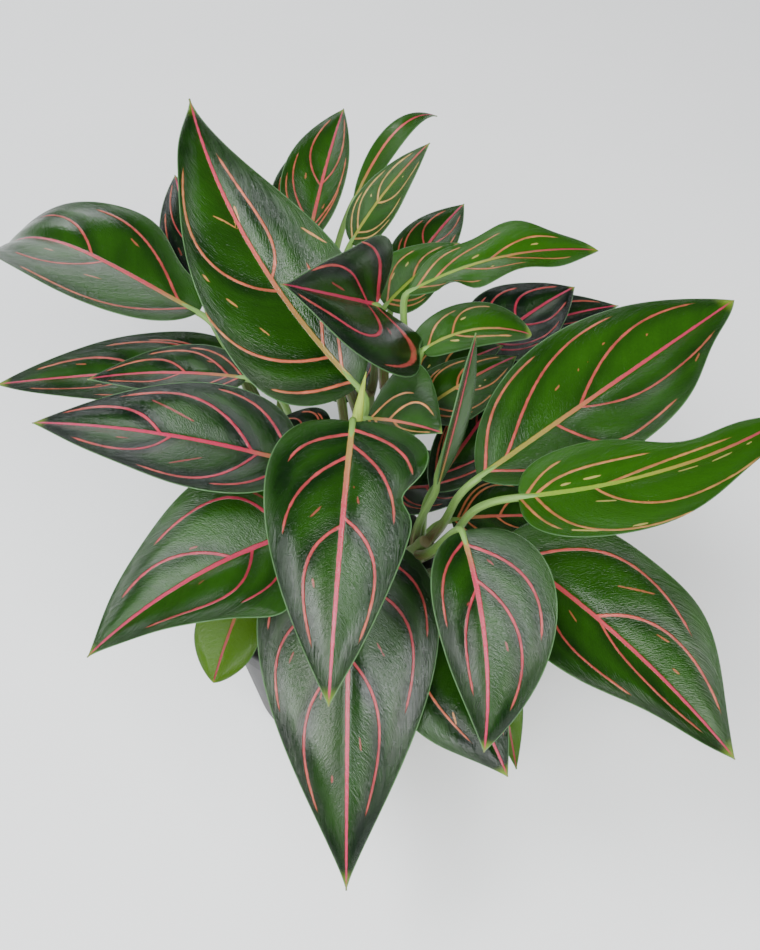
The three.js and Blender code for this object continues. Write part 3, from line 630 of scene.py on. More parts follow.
def blade_part(row, look, seed):
    """The closed blade: its upper face, a rounded margin and its lower face as one loop around each row.

    On the middle surface it is lifted between the veins by quilting * (1 - exp(-(d/3)^2)), with d the
    distance to the nearest vein in millimetres, and by a few slow waves. The waves fade to nothing
    at the midrib, so that the stalk's keel stays right under it.
    """
    thickness, quilting, vein_width = in_mm(look, "thickness", "quilting", "vein_width")
    _, _, size = leaf_spine(row)
    left, right, dashes, rng = veins_of(row, seed)
    rows = int(np.clip(size * 0.9, 44, 100))
    half = int(np.clip(row["width"] * 0.55, 10, 28))
    t = ((1 - np.cos(np.pi * np.linspace(0, 1, rows + 1))) / 2)[:, None]
    out = np.sin(np.pi / 2 * np.linspace(0, 1, half + 1) ** 0.9)
    t, v = np.broadcast_arrays(t, np.concatenate([-out[:0:-1], out])[None, :])
    point, normal, reach = blade_surface(row, t, v)
    mid = v * reach
    vein_width *= min(1, 0.45 + row["width"] / 80)
    lefts = vein_field(row, left, -1, t, v, size, vein_width)
    rights = vein_field(row, right, 1, t, v, size, vein_width)
    dash, dash_wide = stroke_field(row, dashes, t, v, size)
    rib = look.rib_width / MM / 2 * (0.3 + 0.7 * (1 - t) ** 0.7) * min(1, 0.5 + row["width"] / 90)

    gap = np.where(v < 0, np.abs(lefts[0]).min(axis=-1), np.abs(rights[0]).min(axis=-1))
    gap = np.minimum(gap, np.abs(mid))
    lift = quilting * (1 - bell(gap, 3)) * (1 - v ** 8)
    turns = rng.uniform(0, TURN, 4)
    slow = np.sin(5.1 * t + 1.7 * v + turns[0]) + np.sin(9.3 * t - 3.1 * v + turns[1]) \
        + 0.6 * np.sin(15 * t + 5 * v + turns[2])
    lift = lift + 0.3 * slow * np.sin(np.pi * t) * smooth(np.abs(mid), 0, 6) * row["width"] / 45
    half_thick = thickness / 2 * (1 - 0.55 * v ** 4)
    top, bottom, brim = (point + normal * height[..., None]
                         for height in (lift + half_thick, lift - half_thick, lift))
    left_rim = brim[:, 0] + unit(brim[:, 0] - brim[:, 1]) * RIM_BULGE
    right_rim = brim[:, -1] + unit(brim[:, -1] - brim[:, -2]) * RIM_BULGE

    def loop(upper, lower, left_edge, right_edge):
        return np.concatenate([upper, right_edge[:, None], lower[:, ::-1], left_edge[:, None]], axis=1)

    def both(values):
        return loop(values, values, values[:, 0], values[:, -1])

    ones = np.ones(t.shape)
    zeros = np.zeros(len(t))
    inward = (1 - np.abs(v)) * reach
    edge = loop(inward, inward, zeros, zeros)
    facing = loop(ones, -ones, zeros, zeros)
    family = t + 0.13 * np.log(1 - 0.95 * np.abs(v))
    columns = v.shape[1]
    around = 2 * columns + 2
    j = np.arange(columns - 1)
    cap = np.stack([j, j + 1, 2 * columns - 1 - j, 2 * columns - j], axis=1).tolist()
    cap += [[columns - 1, columns, columns + 1], [2 * columns, 2 * columns + 1, 0]]
    last = (len(t) - 1) * around
    faces = grid_faces(len(t), around) + [one[::-1] for one in cap]
    faces += [[c + last for c in one] for one in cap]
    values = {
        "place": np.stack([both(t), both(family), both(mid)], axis=-1),
        "edge": np.stack([edge, facing, both(rib)], axis=-1),
        "gaps_left": both(lefts[0]), "wides_left": both(lefts[1]),
        "gaps_right": both(rights[0]), "wides_right": both(rights[1]),
        "dash": np.stack([both(dash), both(dash_wide), both(0 * ones)], axis=-1),
        "growth": np.stack([both(ones * row[key]) for key in ("fresh", "ripe", "warm")], axis=-1),
    }
    return loop(top, bottom, left_rim, right_rim), faces, 0, values


def stalk_part(row, look, seed):
    """The stalk from the cane to the blade, running on under the midrib as a keel that thins out.

    Its section has a channel on the side towards the cane, and two thin wings where it clasps the cane.
    """
    foot, tip = in_mm(look, "stalk_foot", "stalk_head")
    spine, _, _ = leaf_spine(row)
    place = np.array([row["place"]])
    root = bezier(row["cane"], place)[0]
    rising = slope(row["cane"], place)[0]
    head = spine[0]
    outward = unit((head - root) * [1, 1, 0])
    if row["leaves"] is not None:
        turn = math.radians(row["leaves"])
        outward = np.array([math.cos(turn), math.sin(turn), 0])
    start = root + outward * STALK_OFFSET
    gap = np.linalg.norm(head - start)
    leaving = unit(outward * 0.7 + rising)
    entering = slope(spine, np.array([0.0]))[0]
    path = [start, start + leaving * gap * 0.4, head - entering * gap * row["bend"], head]
    stalk = even(bezier(path, np.linspace(0, 1, 120)), 44)
    keel_t = np.linspace(0, 0.93, 32)[1:]
    middle, normal, _ = blade_surface(row, keel_t, np.zeros(len(keel_t)))
    narrowing = tip * (1 - keel_t) ** 0.8
    keel = middle - normal * ((narrowing * 1.05 + 0.05) * smooth(keel_t, 0, 0.1))[:, None]
    points = np.concatenate([stalk, keel])
    radius = np.concatenate([foot + (tip - foot) * np.sqrt(np.linspace(0, 1, len(stalk))), narrowing])
    stalk_end = len(stalk) / len(points)
    up = np.array([0, 0, 1.0]) * 0.6 - outward * 0.8

    def section(s, angle):
        away = np.minimum(angle, TURN - angle)
        channel = 1 - 0.3 * bell(away, 0.55) * (1 - smooth(s, stalk_end * 0.8, stalk_end))
        return channel + 0.28 * bell(away - 0.8, 0.28) * (1 - smooth(s, 0.05, stalk_end * 0.5))

    ring, faces, angle = rod(points, radius, up, 16, section)
    return ring, faces, 1, along_values(np.linspace(0, 1, len(points)) / stalk_end, angle, seed)


# Pot and potting mix

def rounded(corners, radii, steps):
    """The outline with each corner replaced by a parabola between two points at the radius from it."""
    corners = np.asarray(corners, float)
    radii = np.asarray(radii, float)[:, None]
    back, on = (corners + radii * unit(np.roll(corners, way, axis=0) - corners + 1e-12) for way in (1, -1))
    u = np.linspace(0, 1, steps)[None, :, None]
    curve = (1 - u) ** 2 * back[:, None] + 2 * u * (1 - u) * corners[:, None] + u ** 2 * on[:, None]
    return curve.reshape(-1, 2)


def turned(profile, sides):
    """The profile of radius and height turned round the Z axis."""
    profile = np.asarray(profile, float)
    ring = profile[:, None, 0] * np.exp(1j * circle(sides))[None, :]
    points = np.stack([ring.real, ring.imag, np.broadcast_to(profile[:, None, 1], ring.shape)], axis=-1)
    return points, grid_faces(len(profile), sides)


def drained_floor():
    """The ring of the pot's floor that has the round drain holes.

    Each sector of it is a set of spokes from the hole's edge to the sector's own edge, on both faces,
    and the two faces are joined inside the hole.
    """
    inner, outer = DRAIN_RING
    half = np.pi / DRAINS
    arc = np.linspace(-half, half, POT_SIDES // DRAINS + 1)
    radial = np.linspace(0, 1, 7)
    rim = np.concatenate([
        outer * np.exp(1j * arc),
        (outer + (inner - outer) * radial[1:]) * np.exp(1j * half),
        inner * np.exp(1j * arc[::-1][1:]),
        (inner + (outer - inner) * radial[1:-1]) * np.exp(-1j * half),
    ])
    spoke = rim - DRAIN_CIRCLE
    edge = DRAIN_CIRCLE + DRAIN_RADIUS * spoke / np.abs(spoke)
    flat = edge + (rim - edge) * np.linspace(0, 1, 6)[:, None]
    whole = np.concatenate([flat[::-1], flat])
    height = np.repeat([0, POT_FLOOR], len(flat))[:, None]
    parts = []
    for k in range(DRAINS):
        place = whole * np.exp(1j * (2 * k + 1) * half)
        points = np.stack([place.real, place.imag, np.broadcast_to(height, place.shape)], axis=-1)
        parts.append((points, grid_faces(len(whole), len(rim)), 0, {}))
    return parts


def pot_parts(look):
    """The pot's wall, band and rim turned from a rounded outline, and its floor with six drain holes."""
    height, base, rim, wall = in_mm(look, "height", "base_radius", "rim_radius", "wall")

    def outer(z):
        return base + (rim - POT_STEP - base) / height * z

    band = height - POT_BAND
    corners = [(base - 0.6, 0), (outer(1.2), 1.2), (outer(band - 0.6), band - 0.6), (rim - 0.25, band),
               (rim, height - 1.0), (rim - 0.9, height), (outer(height) - wall + 0.7, height),
               (outer(height) - wall - 0.1, height - 1.4), (outer(POT_FLOOR + 3) - wall, POT_FLOOR + 3),
               (base - wall - 1.6, POT_FLOOR)]
    outline = rounded(corners, [0.5, 0.5, 0.4, 0.5, 0.8, 0.55, 0.6, 0.6, 1.5, 1.4], 6)
    inner_edge, outer_edge = DRAIN_RING
    outlines = [[(outer_edge, 0), *outline, (outer_edge, POT_FLOOR)]]
    outlines += [[(inner_edge, z), (9, z), (4, z), (0.001, z)] for z in (0, POT_FLOOR)]
    return [(*turned(one, POT_SIDES), 0, {}) for one in outlines] + drained_floor()


def soil_radius(look, z):
    """Inner radius of the pot at a height, less a hair's breadth."""
    base, rim, wall, height = in_mm(look, "base_radius", "rim_radius", "wall", "height")
    return base + (rim - POT_STEP - base) * z / height - wall - 0.05


def soil_height(look, x, y):
    """Height of the mix: a low dome, round lumps and hollows, and a dip along the wall."""
    rng = np.random.default_rng(LUMP_SEED)
    wall = soil_radius(look, SOIL_EDGE)
    r = np.hypot(x, y) / wall
    z = SOIL_EDGE + SOIL_DOME * (1 - np.clip(r, 0, 1) ** 2)
    a = rng.uniform(0, TURN, LUMPS)
    d = wall * np.sqrt(rng.uniform(0, 1, LUMPS))
    size = rng.uniform(0.9, 3.6, LUMPS)
    lift = rng.uniform(-0.5, 0.75, LUMPS) * size * 0.32
    gap = (x[..., None] - d * np.cos(a)) ** 2 + (y[..., None] - d * np.sin(a)) ** 2
    return z + np.sum(lift * np.exp(-gap / size ** 2), axis=-1) - 0.6 * smooth(r, 0.9, 1.0)


def soil_part(look):
    """The body of the mix: its lumpy top on rings around the axis, its side and its flat foot."""
    angle = circle(SOIL_SIDES)
    r = soil_radius(look, SOIL_EDGE) * np.sqrt(np.linspace(1, 1e-7, 60))[:, None]
    x, y = r * np.cos(angle), r * np.sin(angle)
    top = np.stack([x, y, soil_height(look, x, y)], axis=-1)
    foot, _ = turned([(0.001, SOIL_FOOT), (soil_radius(look, SOIL_FOOT) - 2.2, SOIL_FOOT),
                      (soil_radius(look, 8), 8), (soil_radius(look, 64), 64)], SOIL_SIDES)
    points = np.concatenate([foot, top])
    return points, grid_faces(len(points), SOIL_SIDES), 0, {}


def grain_parts(look):
    """Grains on the mix: small many-sided bodies squashed and turned at random, light perlite or bark."""
    count = look.grains
    rng = np.random.default_rng(GRAIN_SEED)
    ring = [(1, 0, 0), (0, 1, 0), (-1, 0, 0), (0, -1, 0)]
    corners = [(1, 1, 0.6), (-1, 1, -0.6), (-1, -1, 0.6), (1, -1, -0.6)]
    body = unit(np.array([*ring, (0, 0, 1), (0, 0, -1), *corners], float))
    belt = [0, 6, 1, 7, 2, 8, 3, 9, 0]
    sides = list(zip(belt, belt[1:]))
    faces = [(a, b, 4) for a, b in sides] + [(b, a, 5) for a, b in sides]
    light = rng.uniform(size=count) < 0.13
    size = np.where(light, rng.uniform(0.5, 1.3, count), rng.uniform(0.35, 1.9, count) ** 1.1)
    stretch = rng.uniform(0.5, 1.5, (count, 3)) * [1.2, 0.8, 0.5]
    a, b = rng.uniform(0, TURN, (2, count))
    shape = body[None] * rng.uniform(0.75, 1.2, (count, len(body), 1)) * (stretch * size[:, None])[:, None]
    x = shape[..., 0] * np.cos(a)[:, None] - shape[..., 1] * np.sin(a)[:, None]
    y = shape[..., 0] * np.sin(a)[:, None] + shape[..., 1] * np.cos(a)[:, None]
    z = shape[..., 2] + x * rng.uniform(-0.5, 0.5, count)[:, None]
    d = (soil_radius(look, SOIL_EDGE) - 1.6) * np.sqrt(rng.uniform(0, 1, count))
    cx, cy = d * np.cos(b), d * np.sin(b)
    cz = soil_height(look, cx, cy) + 0.25 * size
    points = np.stack([x + cx[:, None], y + cy[:, None], z + cz[:, None]], axis=-1)
    index = (np.arange(count) * len(body))[:, None, None] + np.array(faces)[None]
    kind = np.broadcast_to(np.stack([light, rng.uniform(size=count), size], axis=-1)[:, None], points.shape)
    return points, index.reshape(-1, 3).tolist(), 0, {"kind": kind}


# Canes and rolled leaf

def cane_part(cane, look, seed):
    """A cane of radius r (1 - 0.3 s)(1 + 0.1 cos(2 pi n s)), sharper at its n rings and rounded on top."""
    s = np.linspace(0, 1, 130)
    points = even(bezier(cane, np.linspace(0, 1, 300)), len(s))
    ring = 0.1 * np.cos(CANE_RINGS * TURN * s) \
        + 0.045 * np.exp(-((s * CANE_RINGS + 0.5) % 1 - 0.5) ** 2 / 0.004)
    cap = np.sqrt(1 - np.clip((s - 0.93) / 0.08, 0, 1) ** 2)
    radius = look.cane_radius / MM * (1 - 0.3 * s) * (1 + ring) * cap
    turn = np.random.default_rng(seed).uniform(0, TURN, 2)

    def section(s, angle):
        return 1 + 0.02 * np.sin(3 * angle + turn[0] + 9 * s) + 0.015 * np.sin(7 * angle + turn[1] - 14 * s)

    skin, faces, angle = rod(points, radius, TO_BACK, 36, section)
    return skin, faces, 0, along_values(s, angle, seed)


def spear_part(look):
    """The rolled leaf: r (1 - s)^0.7 (0.8 + 0.5 sin pi s) + 0.3, with the roll's edge winding round it."""
    s = np.linspace(0, 1, 90)
    points = even(bezier(SPEAR, np.linspace(0, 1, 200)), len(s))
    radius = look.spear_radius / MM * (1 - s) ** 0.7 * (0.8 + 0.5 * np.sin(np.pi * s)) + 0.3 - 0.25 * s ** 3

    def section(s, angle):
        roll = (angle / TURN + 0.8 * s) % 1
        return 1 + 0.16 * (roll - 0.5) - 0.1 * bell(roll, 0.05)

    skin, faces, angle = rod(points, radius, TO_BACK, 40, section)
    return skin, faces, 0, along_values(s, angle, 3)


# Materials

def math_node(operation):
    """A method that adds one sum, product or other operation on numbers."""
    def method(self, a, b=0.0, c=0.0, clamp=False):
        return self.add("ShaderNodeMath", {0: a, 1: b, 2: c}, operation=operation, use_clamp=clamp)
    return method


class Wiring:
    """The node tree of one new material. A value may be a number, a colour or another node's output."""
    plus = math_node("ADD")
    less = math_node("SUBTRACT")
    times = math_node("MULTIPLY")
    scaled = math_node("MULTIPLY_ADD")
    over = math_node("DIVIDE")
    least = math_node("MINIMUM")
    most = math_node("MAXIMUM")
    above = math_node("GREATER_THAN")
    size = math_node("ABSOLUTE")
    sine = math_node("SINE")
    cosine = math_node("COSINE")

    def __init__(self, name):
        self.material = bpy.data.materials.new(name)
        self.material.use_nodes = True
        self.tree = self.material.node_tree
        self.tree.nodes.clear()
        self.where = self.add("ShaderNodeTexCoord", out=3)

    def add(self, kind, values=None, out=0, **settings):
        """A node with its settings made and its inputs set or joined. Returns the wanted output."""
        node = self.tree.nodes.new(kind)
        for key, value in settings.items():
            setattr(node, key, value)
        for key, value in (values or {}).items():
            socket = node.inputs[key]
            if isinstance(value, bpy.types.NodeSocket):
                self.tree.links.new(value, socket)
            else:
                socket.default_value = (*value, 1) if socket.type == "RGBA" else value
        return node if out is None else node.outputs[out]

    def smooth(self, value, low, high, first=0.0, last=1.0):
        """first below low, last above high, and a smooth step between."""
        return self.add("ShaderNodeMapRange", {0: value, 1: low, 2: high, 3: first, 4: last},
                        interpolation_type="SMOOTHSTEP")

    def mix(self, amount, a, b, blend="MIX"):
        """Colour a, changing to b as the amount goes from 0 to 1."""
        return self.add("ShaderNodeMix", {0: amount, 6: a, 7: b}, out=2, data_type="RGBA", blend_type=blend)

    def tint(self, a, amount):
        """Colour a made lighter or darker by the amount."""
        grey = self.add("ShaderNodeCombineColor", {0: amount, 1: amount, 2: amount})
        return self.mix(1.0, a, grey, "MULTIPLY")

    def parts(self, vector):
        """The three numbers of a vector."""
        return self.add("ShaderNodeSeparateXYZ", {0: vector}, out=None).outputs[:3]

    def carried(self, name):
        """The vector that the mesh carries under this name."""
        return self.add("ShaderNodeAttribute", out=1, attribute_name=name)

    def point(self, x, y, z):
        """A vector of three numbers."""
        return self.add("ShaderNodeCombineXYZ", {0: x, 1: y, 2: z})

    def noise(self, where, scale, detail=2.0):
        """Smooth random cloud between 0 and 1."""
        return self.add("ShaderNodeTexNoise", {"Vector": where, "Scale": scale, "Detail": detail})

    def relief(self, *heights):
        """The surface's normal, tilted by each height in turn, which comes with its distance in metres."""
        values = {}
        for height, distance in heights:
            values.update(Height=height, Distance=distance)
            values["Normal"] = self.add("ShaderNodeBump", values)
        return values["Normal"]

    def surface(self, colour, rough, **values):
        """A principled shader with these values."""
        return self.add("ShaderNodeBsdfPrincipled", {"Base Color": colour, "Roughness": rough, **values})

    def finish(self, shader):
        """The shader goes to the material's output."""
        self.add("ShaderNodeOutputMaterial", {"Surface": shader}, out=None)
        return self.material


def leaf_material(look):
    """Waxy leaf: veins and dashes are drawn where the distance to them is under their half-width."""
    w = Wiring("waxy_leaf")
    t, family, mid = w.parts(w.carried("place"))
    edge, facing, rib = w.parts(w.carried("edge"))
    fresh, ripe, warm = w.parts(w.carried("growth"))
    dash, dash_wide, _ = w.parts(w.carried("dash"))
    is_right = w.above(mid, 0.0)

    def half(name):
        left, right = w.carried(f"{name}_left"), w.carried(f"{name}_right")
        return w.add("ShaderNodeMix", {0: is_right, 4: left, 5: right}, out=1, data_type="VECTOR")

    def least(vector):
        first, second, third = w.parts(vector)
        return w.least(w.least(first, second), third)

    gaps = w.add("ShaderNodeVectorMath", {0: half("gaps")}, operation="ABSOLUTE")
    past = w.add("ShaderNodeVectorMath", {0: gaps, 1: half("wides")}, operation="SUBTRACT")
    gap = least(gaps)
    wobble = w.scaled(w.noise(w.where, 420.0, 3.0), 0.4, -0.2)

    def ink(past_edge):
        return w.smooth(w.plus(past_edge, wobble), -0.17, 0.15, 1.0, 0.0)

    side_ink = ink(least(past))
    dash_ink = ink(w.less(w.size(dash), dash_wide))
    rib_ink = w.times(ink(w.less(w.size(mid), rib)), w.smooth(t, 0.95, 0.99, 1.0, 0.15))

    # Greens: streaks that follow the veins, a lighter green between them that is painted light glowing
    # through the blade, and a pale margin and tip
    streaks = w.noise(w.point(w.times(family, 34.0), w.times(mid, 0.03), warm), 1.0, 4.0)
    hatch = w.noise(w.point(w.times(family, 210.0), w.times(mid, 1.1), fresh), 1.0, 3.0)
    cloud = w.noise(w.where, 60.0, 3.0)
    young = w.scaled(cloud, 0.5, w.less(fresh, 0.32))
    # Painted light: the green grows lighter away from the veins, as light glowing through the blade between
    # them.
    young = w.plus(young, w.smooth(gap, 0.5, 5.0, 0.0, 0.22))
    young = w.scaled(streaks, 0.2, w.less(young, 0.1), clamp=True)
    green = w.mix(young, look.dark, look.fresh)
    pale = w.most(w.smooth(t, 0.93, 1.0, 0.0, 0.7), w.smooth(fresh, 1.0, 1.3, 0.0, 0.35))
    green = w.mix(pale, green, look.lime)
    rim = w.times(w.smooth(edge, 0.05, 0.36, 0.8, 0.0), w.scaled(cloud, 0.9, 0.35), clamp=True)
    green = w.mix(rim, green, look.margin)

    # Veins: coral, peach or cream by warm, with the midrib lime and tan near its base
    later = w.mix(w.times(warm, 1.0, clamp=True), look.coral, look.peach)
    later = w.mix(w.less(warm, 1.0, clamp=True), later, look.cream)
    early = w.mix(fresh, look.tan, look.lime)
    rib_late = w.mix(w.smooth(t, 0.3, 0.9, 0.3, 0.9), later, look.pink)
    rib_colour = w.mix(w.smooth(w.over(t, ripe), 0.25, 1.1), early, rib_late)
    rib_colour = w.mix(w.smooth(t, 0.0, 0.08, 0.8, 0.0), rib_colour, look.lime)
    ending = w.smooth(edge, 0.5, 7.0, 0.35, 0.0)
    side_colour = w.mix(ending, later, w.mix(warm, look.peach, look.cream))
    side_colour = w.tint(side_colour, w.smooth(w.noise(w.where, 150.0, 3.0), 0.35, 0.65, 0.72, 1.08))
    dash_colour = w.mix(w.smooth(warm, 0.3, 1.2), look.peach, look.cream)
    dash_colour = w.mix(w.smooth(warm, 0.0, 0.5), look.coral, dash_colour)
    top = w.mix(w.times(dash_ink, w.smooth(warm, 0.0, 1.0, 0.5, 0.95)), green, dash_colour)
    top = w.mix(rib_ink, w.mix(side_ink, top, side_colour), rib_colour)
    top = w.tint(top, w.scaled(w.noise(w.where, 1500.0, 2.0), 0.3, 0.85))

    shown = w.most(w.times(rib_ink, 0.7), w.times(side_ink, 0.35))
    under = w.mix(shown, w.tint(look.under, w.scaled(streaks, 0.5, 0.75)), look.under_vein)
    is_under = w.smooth(facing, 0.2, -0.2)
    skin = w.mix(is_under, top, under)
    relief = w.relief((w.most(rib_ink, side_ink), 0.00012), (streaks, 0.00014), (hatch, 0.00018),
                      (w.noise(w.where, 2500.0, 2.0), 0.00005))
    rough = w.scaled(is_under, 0.2, w.scaled(cloud, 0.14, look.roughness - 0.07))
    waxy = w.surface(skin, rough, IOR=WAX_IOR, Normal=relief)
    glow = w.add("ShaderNodeBsdfTranslucent", {"Color": w.mix(0.35, skin, look.fresh), "Normal": relief})
    return w.finish(w.add("ShaderNodeMixShader", {0: w.scaled(fresh, 0.36, 0.03), 1: waxy, 2: glow}))


def stem_material(name, low, high, rough, rings=False, torn=None):
    """Fleshy stem: long fine streaks, scars at the rings where there are any, and torn patches at a foot."""
    w = Wiring(name)
    s, angle, chance = w.parts(w.carried("along"))
    turn = w.times(angle, TURN)
    across = (w.times(w.cosine(turn), 6.0), w.times(w.sine(turn), 6.0))
    streaks = w.noise(w.point(*across, w.plus(w.times(s, 3.0), chance)), 2.0, 4.0)
    blotch = w.noise(w.where, 260.0, 4.0)
    base = w.mix(w.smooth(s, 0.05, 0.8), low, high)
    base = w.tint(base, w.scaled(streaks, 0.7, 0.65))
    height = streaks
    if torn:
        dry = w.times(w.smooth(s, 0.12, 0.45, 1.0, 0.0), w.smooth(streaks, 0.42, 0.56))
        base = w.mix(dry, base, torn)
    if rings:
        wave = w.cosine(w.times(s, CANE_RINGS * TURN))
        scar = w.smooth(w.plus(wave, w.scaled(blotch, 0.2, -0.1)), 0.86, 0.99)
        base = w.mix(w.times(scar, 0.75), base, low)
        base = w.mix(w.smooth(blotch, 0.55, 0.75, 0.0, 0.5), base, low)
        height = w.less(streaks, w.times(scar, 0.6))
    relief = w.relief((height, 0.00015), (w.noise(w.where, 3000.0), 0.00003))
    return w.finish(w.surface(base, w.scaled(blotch, 0.2, rough - 0.1), Normal=relief))


def peat_material(look):
    """Damp potting mix: dark crumbs with fibres of brown."""
    w = Wiring("potting_mix")
    crumb = w.noise(w.where, 900.0, 6.0)
    fibre = w.noise(w.where, 240.0, 5.0)
    base = w.mix(w.smooth(fibre, 0.45, 0.7, 0.0, 0.6), look.peat, look.bark)
    base = w.tint(base, w.scaled(crumb, 1.2, 0.3))
    relief = w.relief((crumb, 0.0009), (fibre, 0.0012))
    return w.finish(w.surface(base, w.smooth(fibre, 0.3, 0.7, 0.72, 0.95), Normal=relief))


def grain_material(look):
    """Grains: light, pitted perlite and brown bark."""
    w = Wiring("perlite_and_bark")
    light, chance, _ = w.parts(w.carried("kind"))
    pits = w.noise(w.where, 1400.0, 4.0)
    bark = w.tint(w.mix(chance, look.peat, look.bark), w.scaled(pits, 0.9, 0.5))
    pale = w.mix(w.smooth(pits, 0.5, 0.75, 0.0, 0.5), look.perlite, look.bark)
    base = w.mix(light, bark, pale)
    return w.finish(w.surface(base, w.smooth(pits, 0.2, 0.8, 0.7, 0.95), Normal=w.relief((pits, 0.0004))))


def pot_material(look):
    """Moulded plastic: a fine even grain, faint scuffs, and a dull film of dried water near the foot."""
    w = Wiring("moulded_plastic")
    _, _, z = w.parts(w.where)
    grain = w.noise(w.where, 2400.0, 2.0)
    flat = w.add("ShaderNodeVectorMath", {0: w.where, 1: (1.0, 1.0, 0.16)}, operation="MULTIPLY")
    scuff = w.noise(flat, 210.0, 6.0)
    dust = w.noise(w.where, 46.0, 5.0)
    film = w.times(w.smooth(z, 0.05, 0.0, 0.1, 0.55), w.smooth(dust, 0.42, 0.7))
    base = w.mix(film, look.plastic, look.film)
    base = w.mix(w.smooth(scuff, 0.6, 0.8, 0.0, 0.18), base, look.scuff)
    rough = w.scaled(film, 0.35, w.scaled(scuff, 0.2, 0.46))
    return w.finish(w.surface(base, rough, Normal=w.relief((grain, 0.00006), (scuff, 0.00008))))


def floor_material(look):
    """Plain pale floor with a barely seen grain."""
    w = Wiring("pale_floor")
    return w.finish(w.surface(w.tint(look.floor, w.scaled(w.noise(w.where, 9.0, 3.0), 0.05, 0.975)), 0.7))


# Operators

class Builder:
    """What the operators share: they build their pieces from the plant's settings."""

    def execute(self, context):
        self.build(context.scene.plant)
        return {"FINISHED"}


class PLANT_OT_pot(Builder, bpy.types.Operator):
    """Builds the plain tapered pot with its banded rim and drain holes"""
    bl_idname = "plant.pot"
    bl_label = "Pot"

    def build(self, plant):
        pot = mesh_object("plain_pot", pot_parts(plant.pot), [pot_material(plant.pot)], weld=WELD)
        dress(pot, "pot_shell", "pot")


class PLANT_OT_soil(Builder, bpy.types.Operator):
    """Builds the potting mix and the grains that lie on it"""
    bl_idname = "plant.soil"
    bl_label = "Potting mix"

    def build(self, plant):
        soil = mesh_object("potting_mix", [soil_part(plant.pot)], [peat_material(plant.pot)], weld=WELD)
        dress(soil, "potting_mix", "soil")
        grains = mesh_object("mix_grains", [grain_parts(plant.pot)], [grain_material(plant.pot)], ["kind"])
        dress(grains, "potting_mix", "soil")


class PLANT_OT_canes(Builder, bpy.types.Operator):
    """Builds the ringed canes and the rolled leaf at the top of the middle one"""
    bl_idname = "plant.canes"
    bl_label = "Canes"

    def build(self, plant):
        look = plant.stem
        skin = stem_material("ringed_cane", look.bark, look.cane, 0.45, rings=True)
        for seed, (letter, cane) in enumerate(CANES.items()):
            thing = mesh_object(f"ringed_cane_{letter}", [cane_part(cane, look, seed)], [skin], ["along"])
            dress(thing, "cane_skin", f"cane_{letter}")
        rolled = stem_material("rolled_leaf", look.stalk, look.spear, 0.38)
        spear = mesh_object("rolled_leaf", [spear_part(look)], [rolled], ["along"])
        dress(spear, "young_leaf", "spear")


class PLANT_OT_leaves(Builder, bpy.types.Operator):
    """Builds every leaf with its veined blade and its channelled stalk"""
    bl_idname = "plant.leaves"
    bl_label = "Leaves"

    def build(self, plant):
        stalk = stem_material("leaf_stalk", plant.stem.sheath, plant.stem.stalk, 0.38, torn=plant.stem.torn)
        waxy = leaf_material(plant.leaf)
        for seed, name in enumerate(LEAVES):
            row = leaf_row(name)
            parts = [blade_part(row, plant.leaf, seed), stalk_part(row, plant.stem, seed)]
            leaf = mesh_object(f"veined_leaf_{name}", parts, [waxy, stalk], [*parts[0][3], *parts[1][3]])
            dress(leaf, "leaf_blade", f"leaf_{name}")


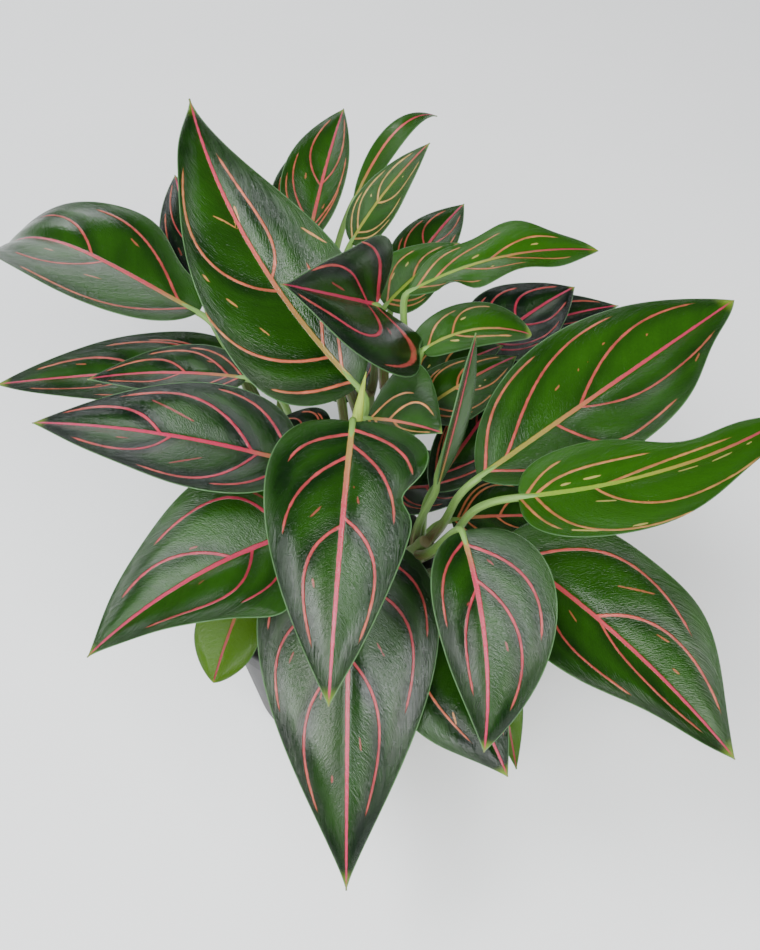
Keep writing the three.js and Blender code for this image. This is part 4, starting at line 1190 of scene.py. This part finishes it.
class PLANT_OT_stage(Builder, bpy.types.Operator):
    """Builds the pale floor, the soft lights and the camera"""
    bl_idname = "plant.stage"
    bl_label = "Stage"

    def build(self, plant):
        look = plant.stage
        corners = [(x * FLOOR_HALF, y * FLOOR_HALF, 0) for x, y in ((-1, -1), (1, -1), (1, 1), (-1, 1))]
        floor = mesh_object("pale_floor", [(corners, [[0, 1, 2, 3]], 0, {})], [floor_material(look)])
        for name, row in LIGHTS.items():
            soft_light(name, getattr(look, name), *row)
        scene = bpy.context.scene
        scene.world = bpy.data.worlds.new("even_sky")
        scene.world.use_nodes = True
        shade = scene.world.node_tree.nodes["Background"]
        shade.inputs["Color"].default_value = (*SKY_COLOUR, 1)
        shade.inputs["Strength"].default_value = look.sky
        lens = bpy.data.cameras.new("view")
        lens.sensor_width, lens.lens, lens.clip_start = SENSOR, LENS, NEAR_END
        scene.camera = bpy.data.objects.new("view", lens)
        scene.camera.location = CAMERA_PLACE
        scene.camera.rotation_euler = (math.radians(CAMERA_TILT), 0, 0)
        scene.collection.objects.link(scene.camera)


def soft_light(name, power, place, size, tint):
    """A soft area light at the place, turned to the plant. Other views don't see the lamp itself."""
    lamp = bpy.data.lights.new(name, "AREA")
    lamp.shape = "RECTANGLE"
    lamp.size, lamp.size_y = size
    lamp.energy = power
    lamp.color = tint
    thing = bpy.data.objects.new(name, lamp)
    thing.location = place
    thing.rotation_euler = (Vector(LIT_POINT) - Vector(place)).to_track_quat("-Z", "Y").to_euler()
    thing.visible_camera = False
    bpy.context.scene.collection.objects.link(thing)


class PLANT_PT_panel(bpy.types.Panel):
    """Lists the plant's pieces and their settings"""
    bl_idname = "PLANT_PT_panel"
    bl_label = "Potted aglaonema"
    bl_space_type = "VIEW_3D"
    bl_region_type = "UI"
    bl_category = "Plant"

    def draw(self, context):
        for group, names in (("leaf", ["leaves"]), ("stem", ["canes"]), ("pot", ["pot", "soil"]),
                             ("stage", ["stage"])):
            settings = getattr(context.scene.plant, group)
            box = self.layout.box()
            for name in names:
                box.operator(f"plant.{name}")
            for key in settings.__annotations__:
                box.prop(settings, key)


CLASSES = (LeafSettings, StemSettings, PotSettings, StageSettings, PlantSettings, PLANT_OT_pot,
           PLANT_OT_soil, PLANT_OT_canes, PLANT_OT_leaves, PLANT_OT_stage, PLANT_PT_panel)


def register():
    """Adds the classes and the scene's settings."""
    for kind in CLASSES:
        bpy.utils.register_class(kind)
    bpy.types.Scene.plant = PointerProperty(type=PlantSettings)


def unregister():
    """Takes them away again."""
    del bpy.types.Scene.plant
    for kind in reversed(CLASSES):
        bpy.utils.unregister_class(kind)


def main():
    """Builds the pieces in order."""
    register()
    bpy.ops.plant.pot()
    bpy.ops.plant.soil()
    bpy.ops.plant.canes()
    bpy.ops.plant.leaves()
    bpy.ops.plant.stage()
    bpy.context.view_layer.update()


if __name__ == "__main__":
    main()
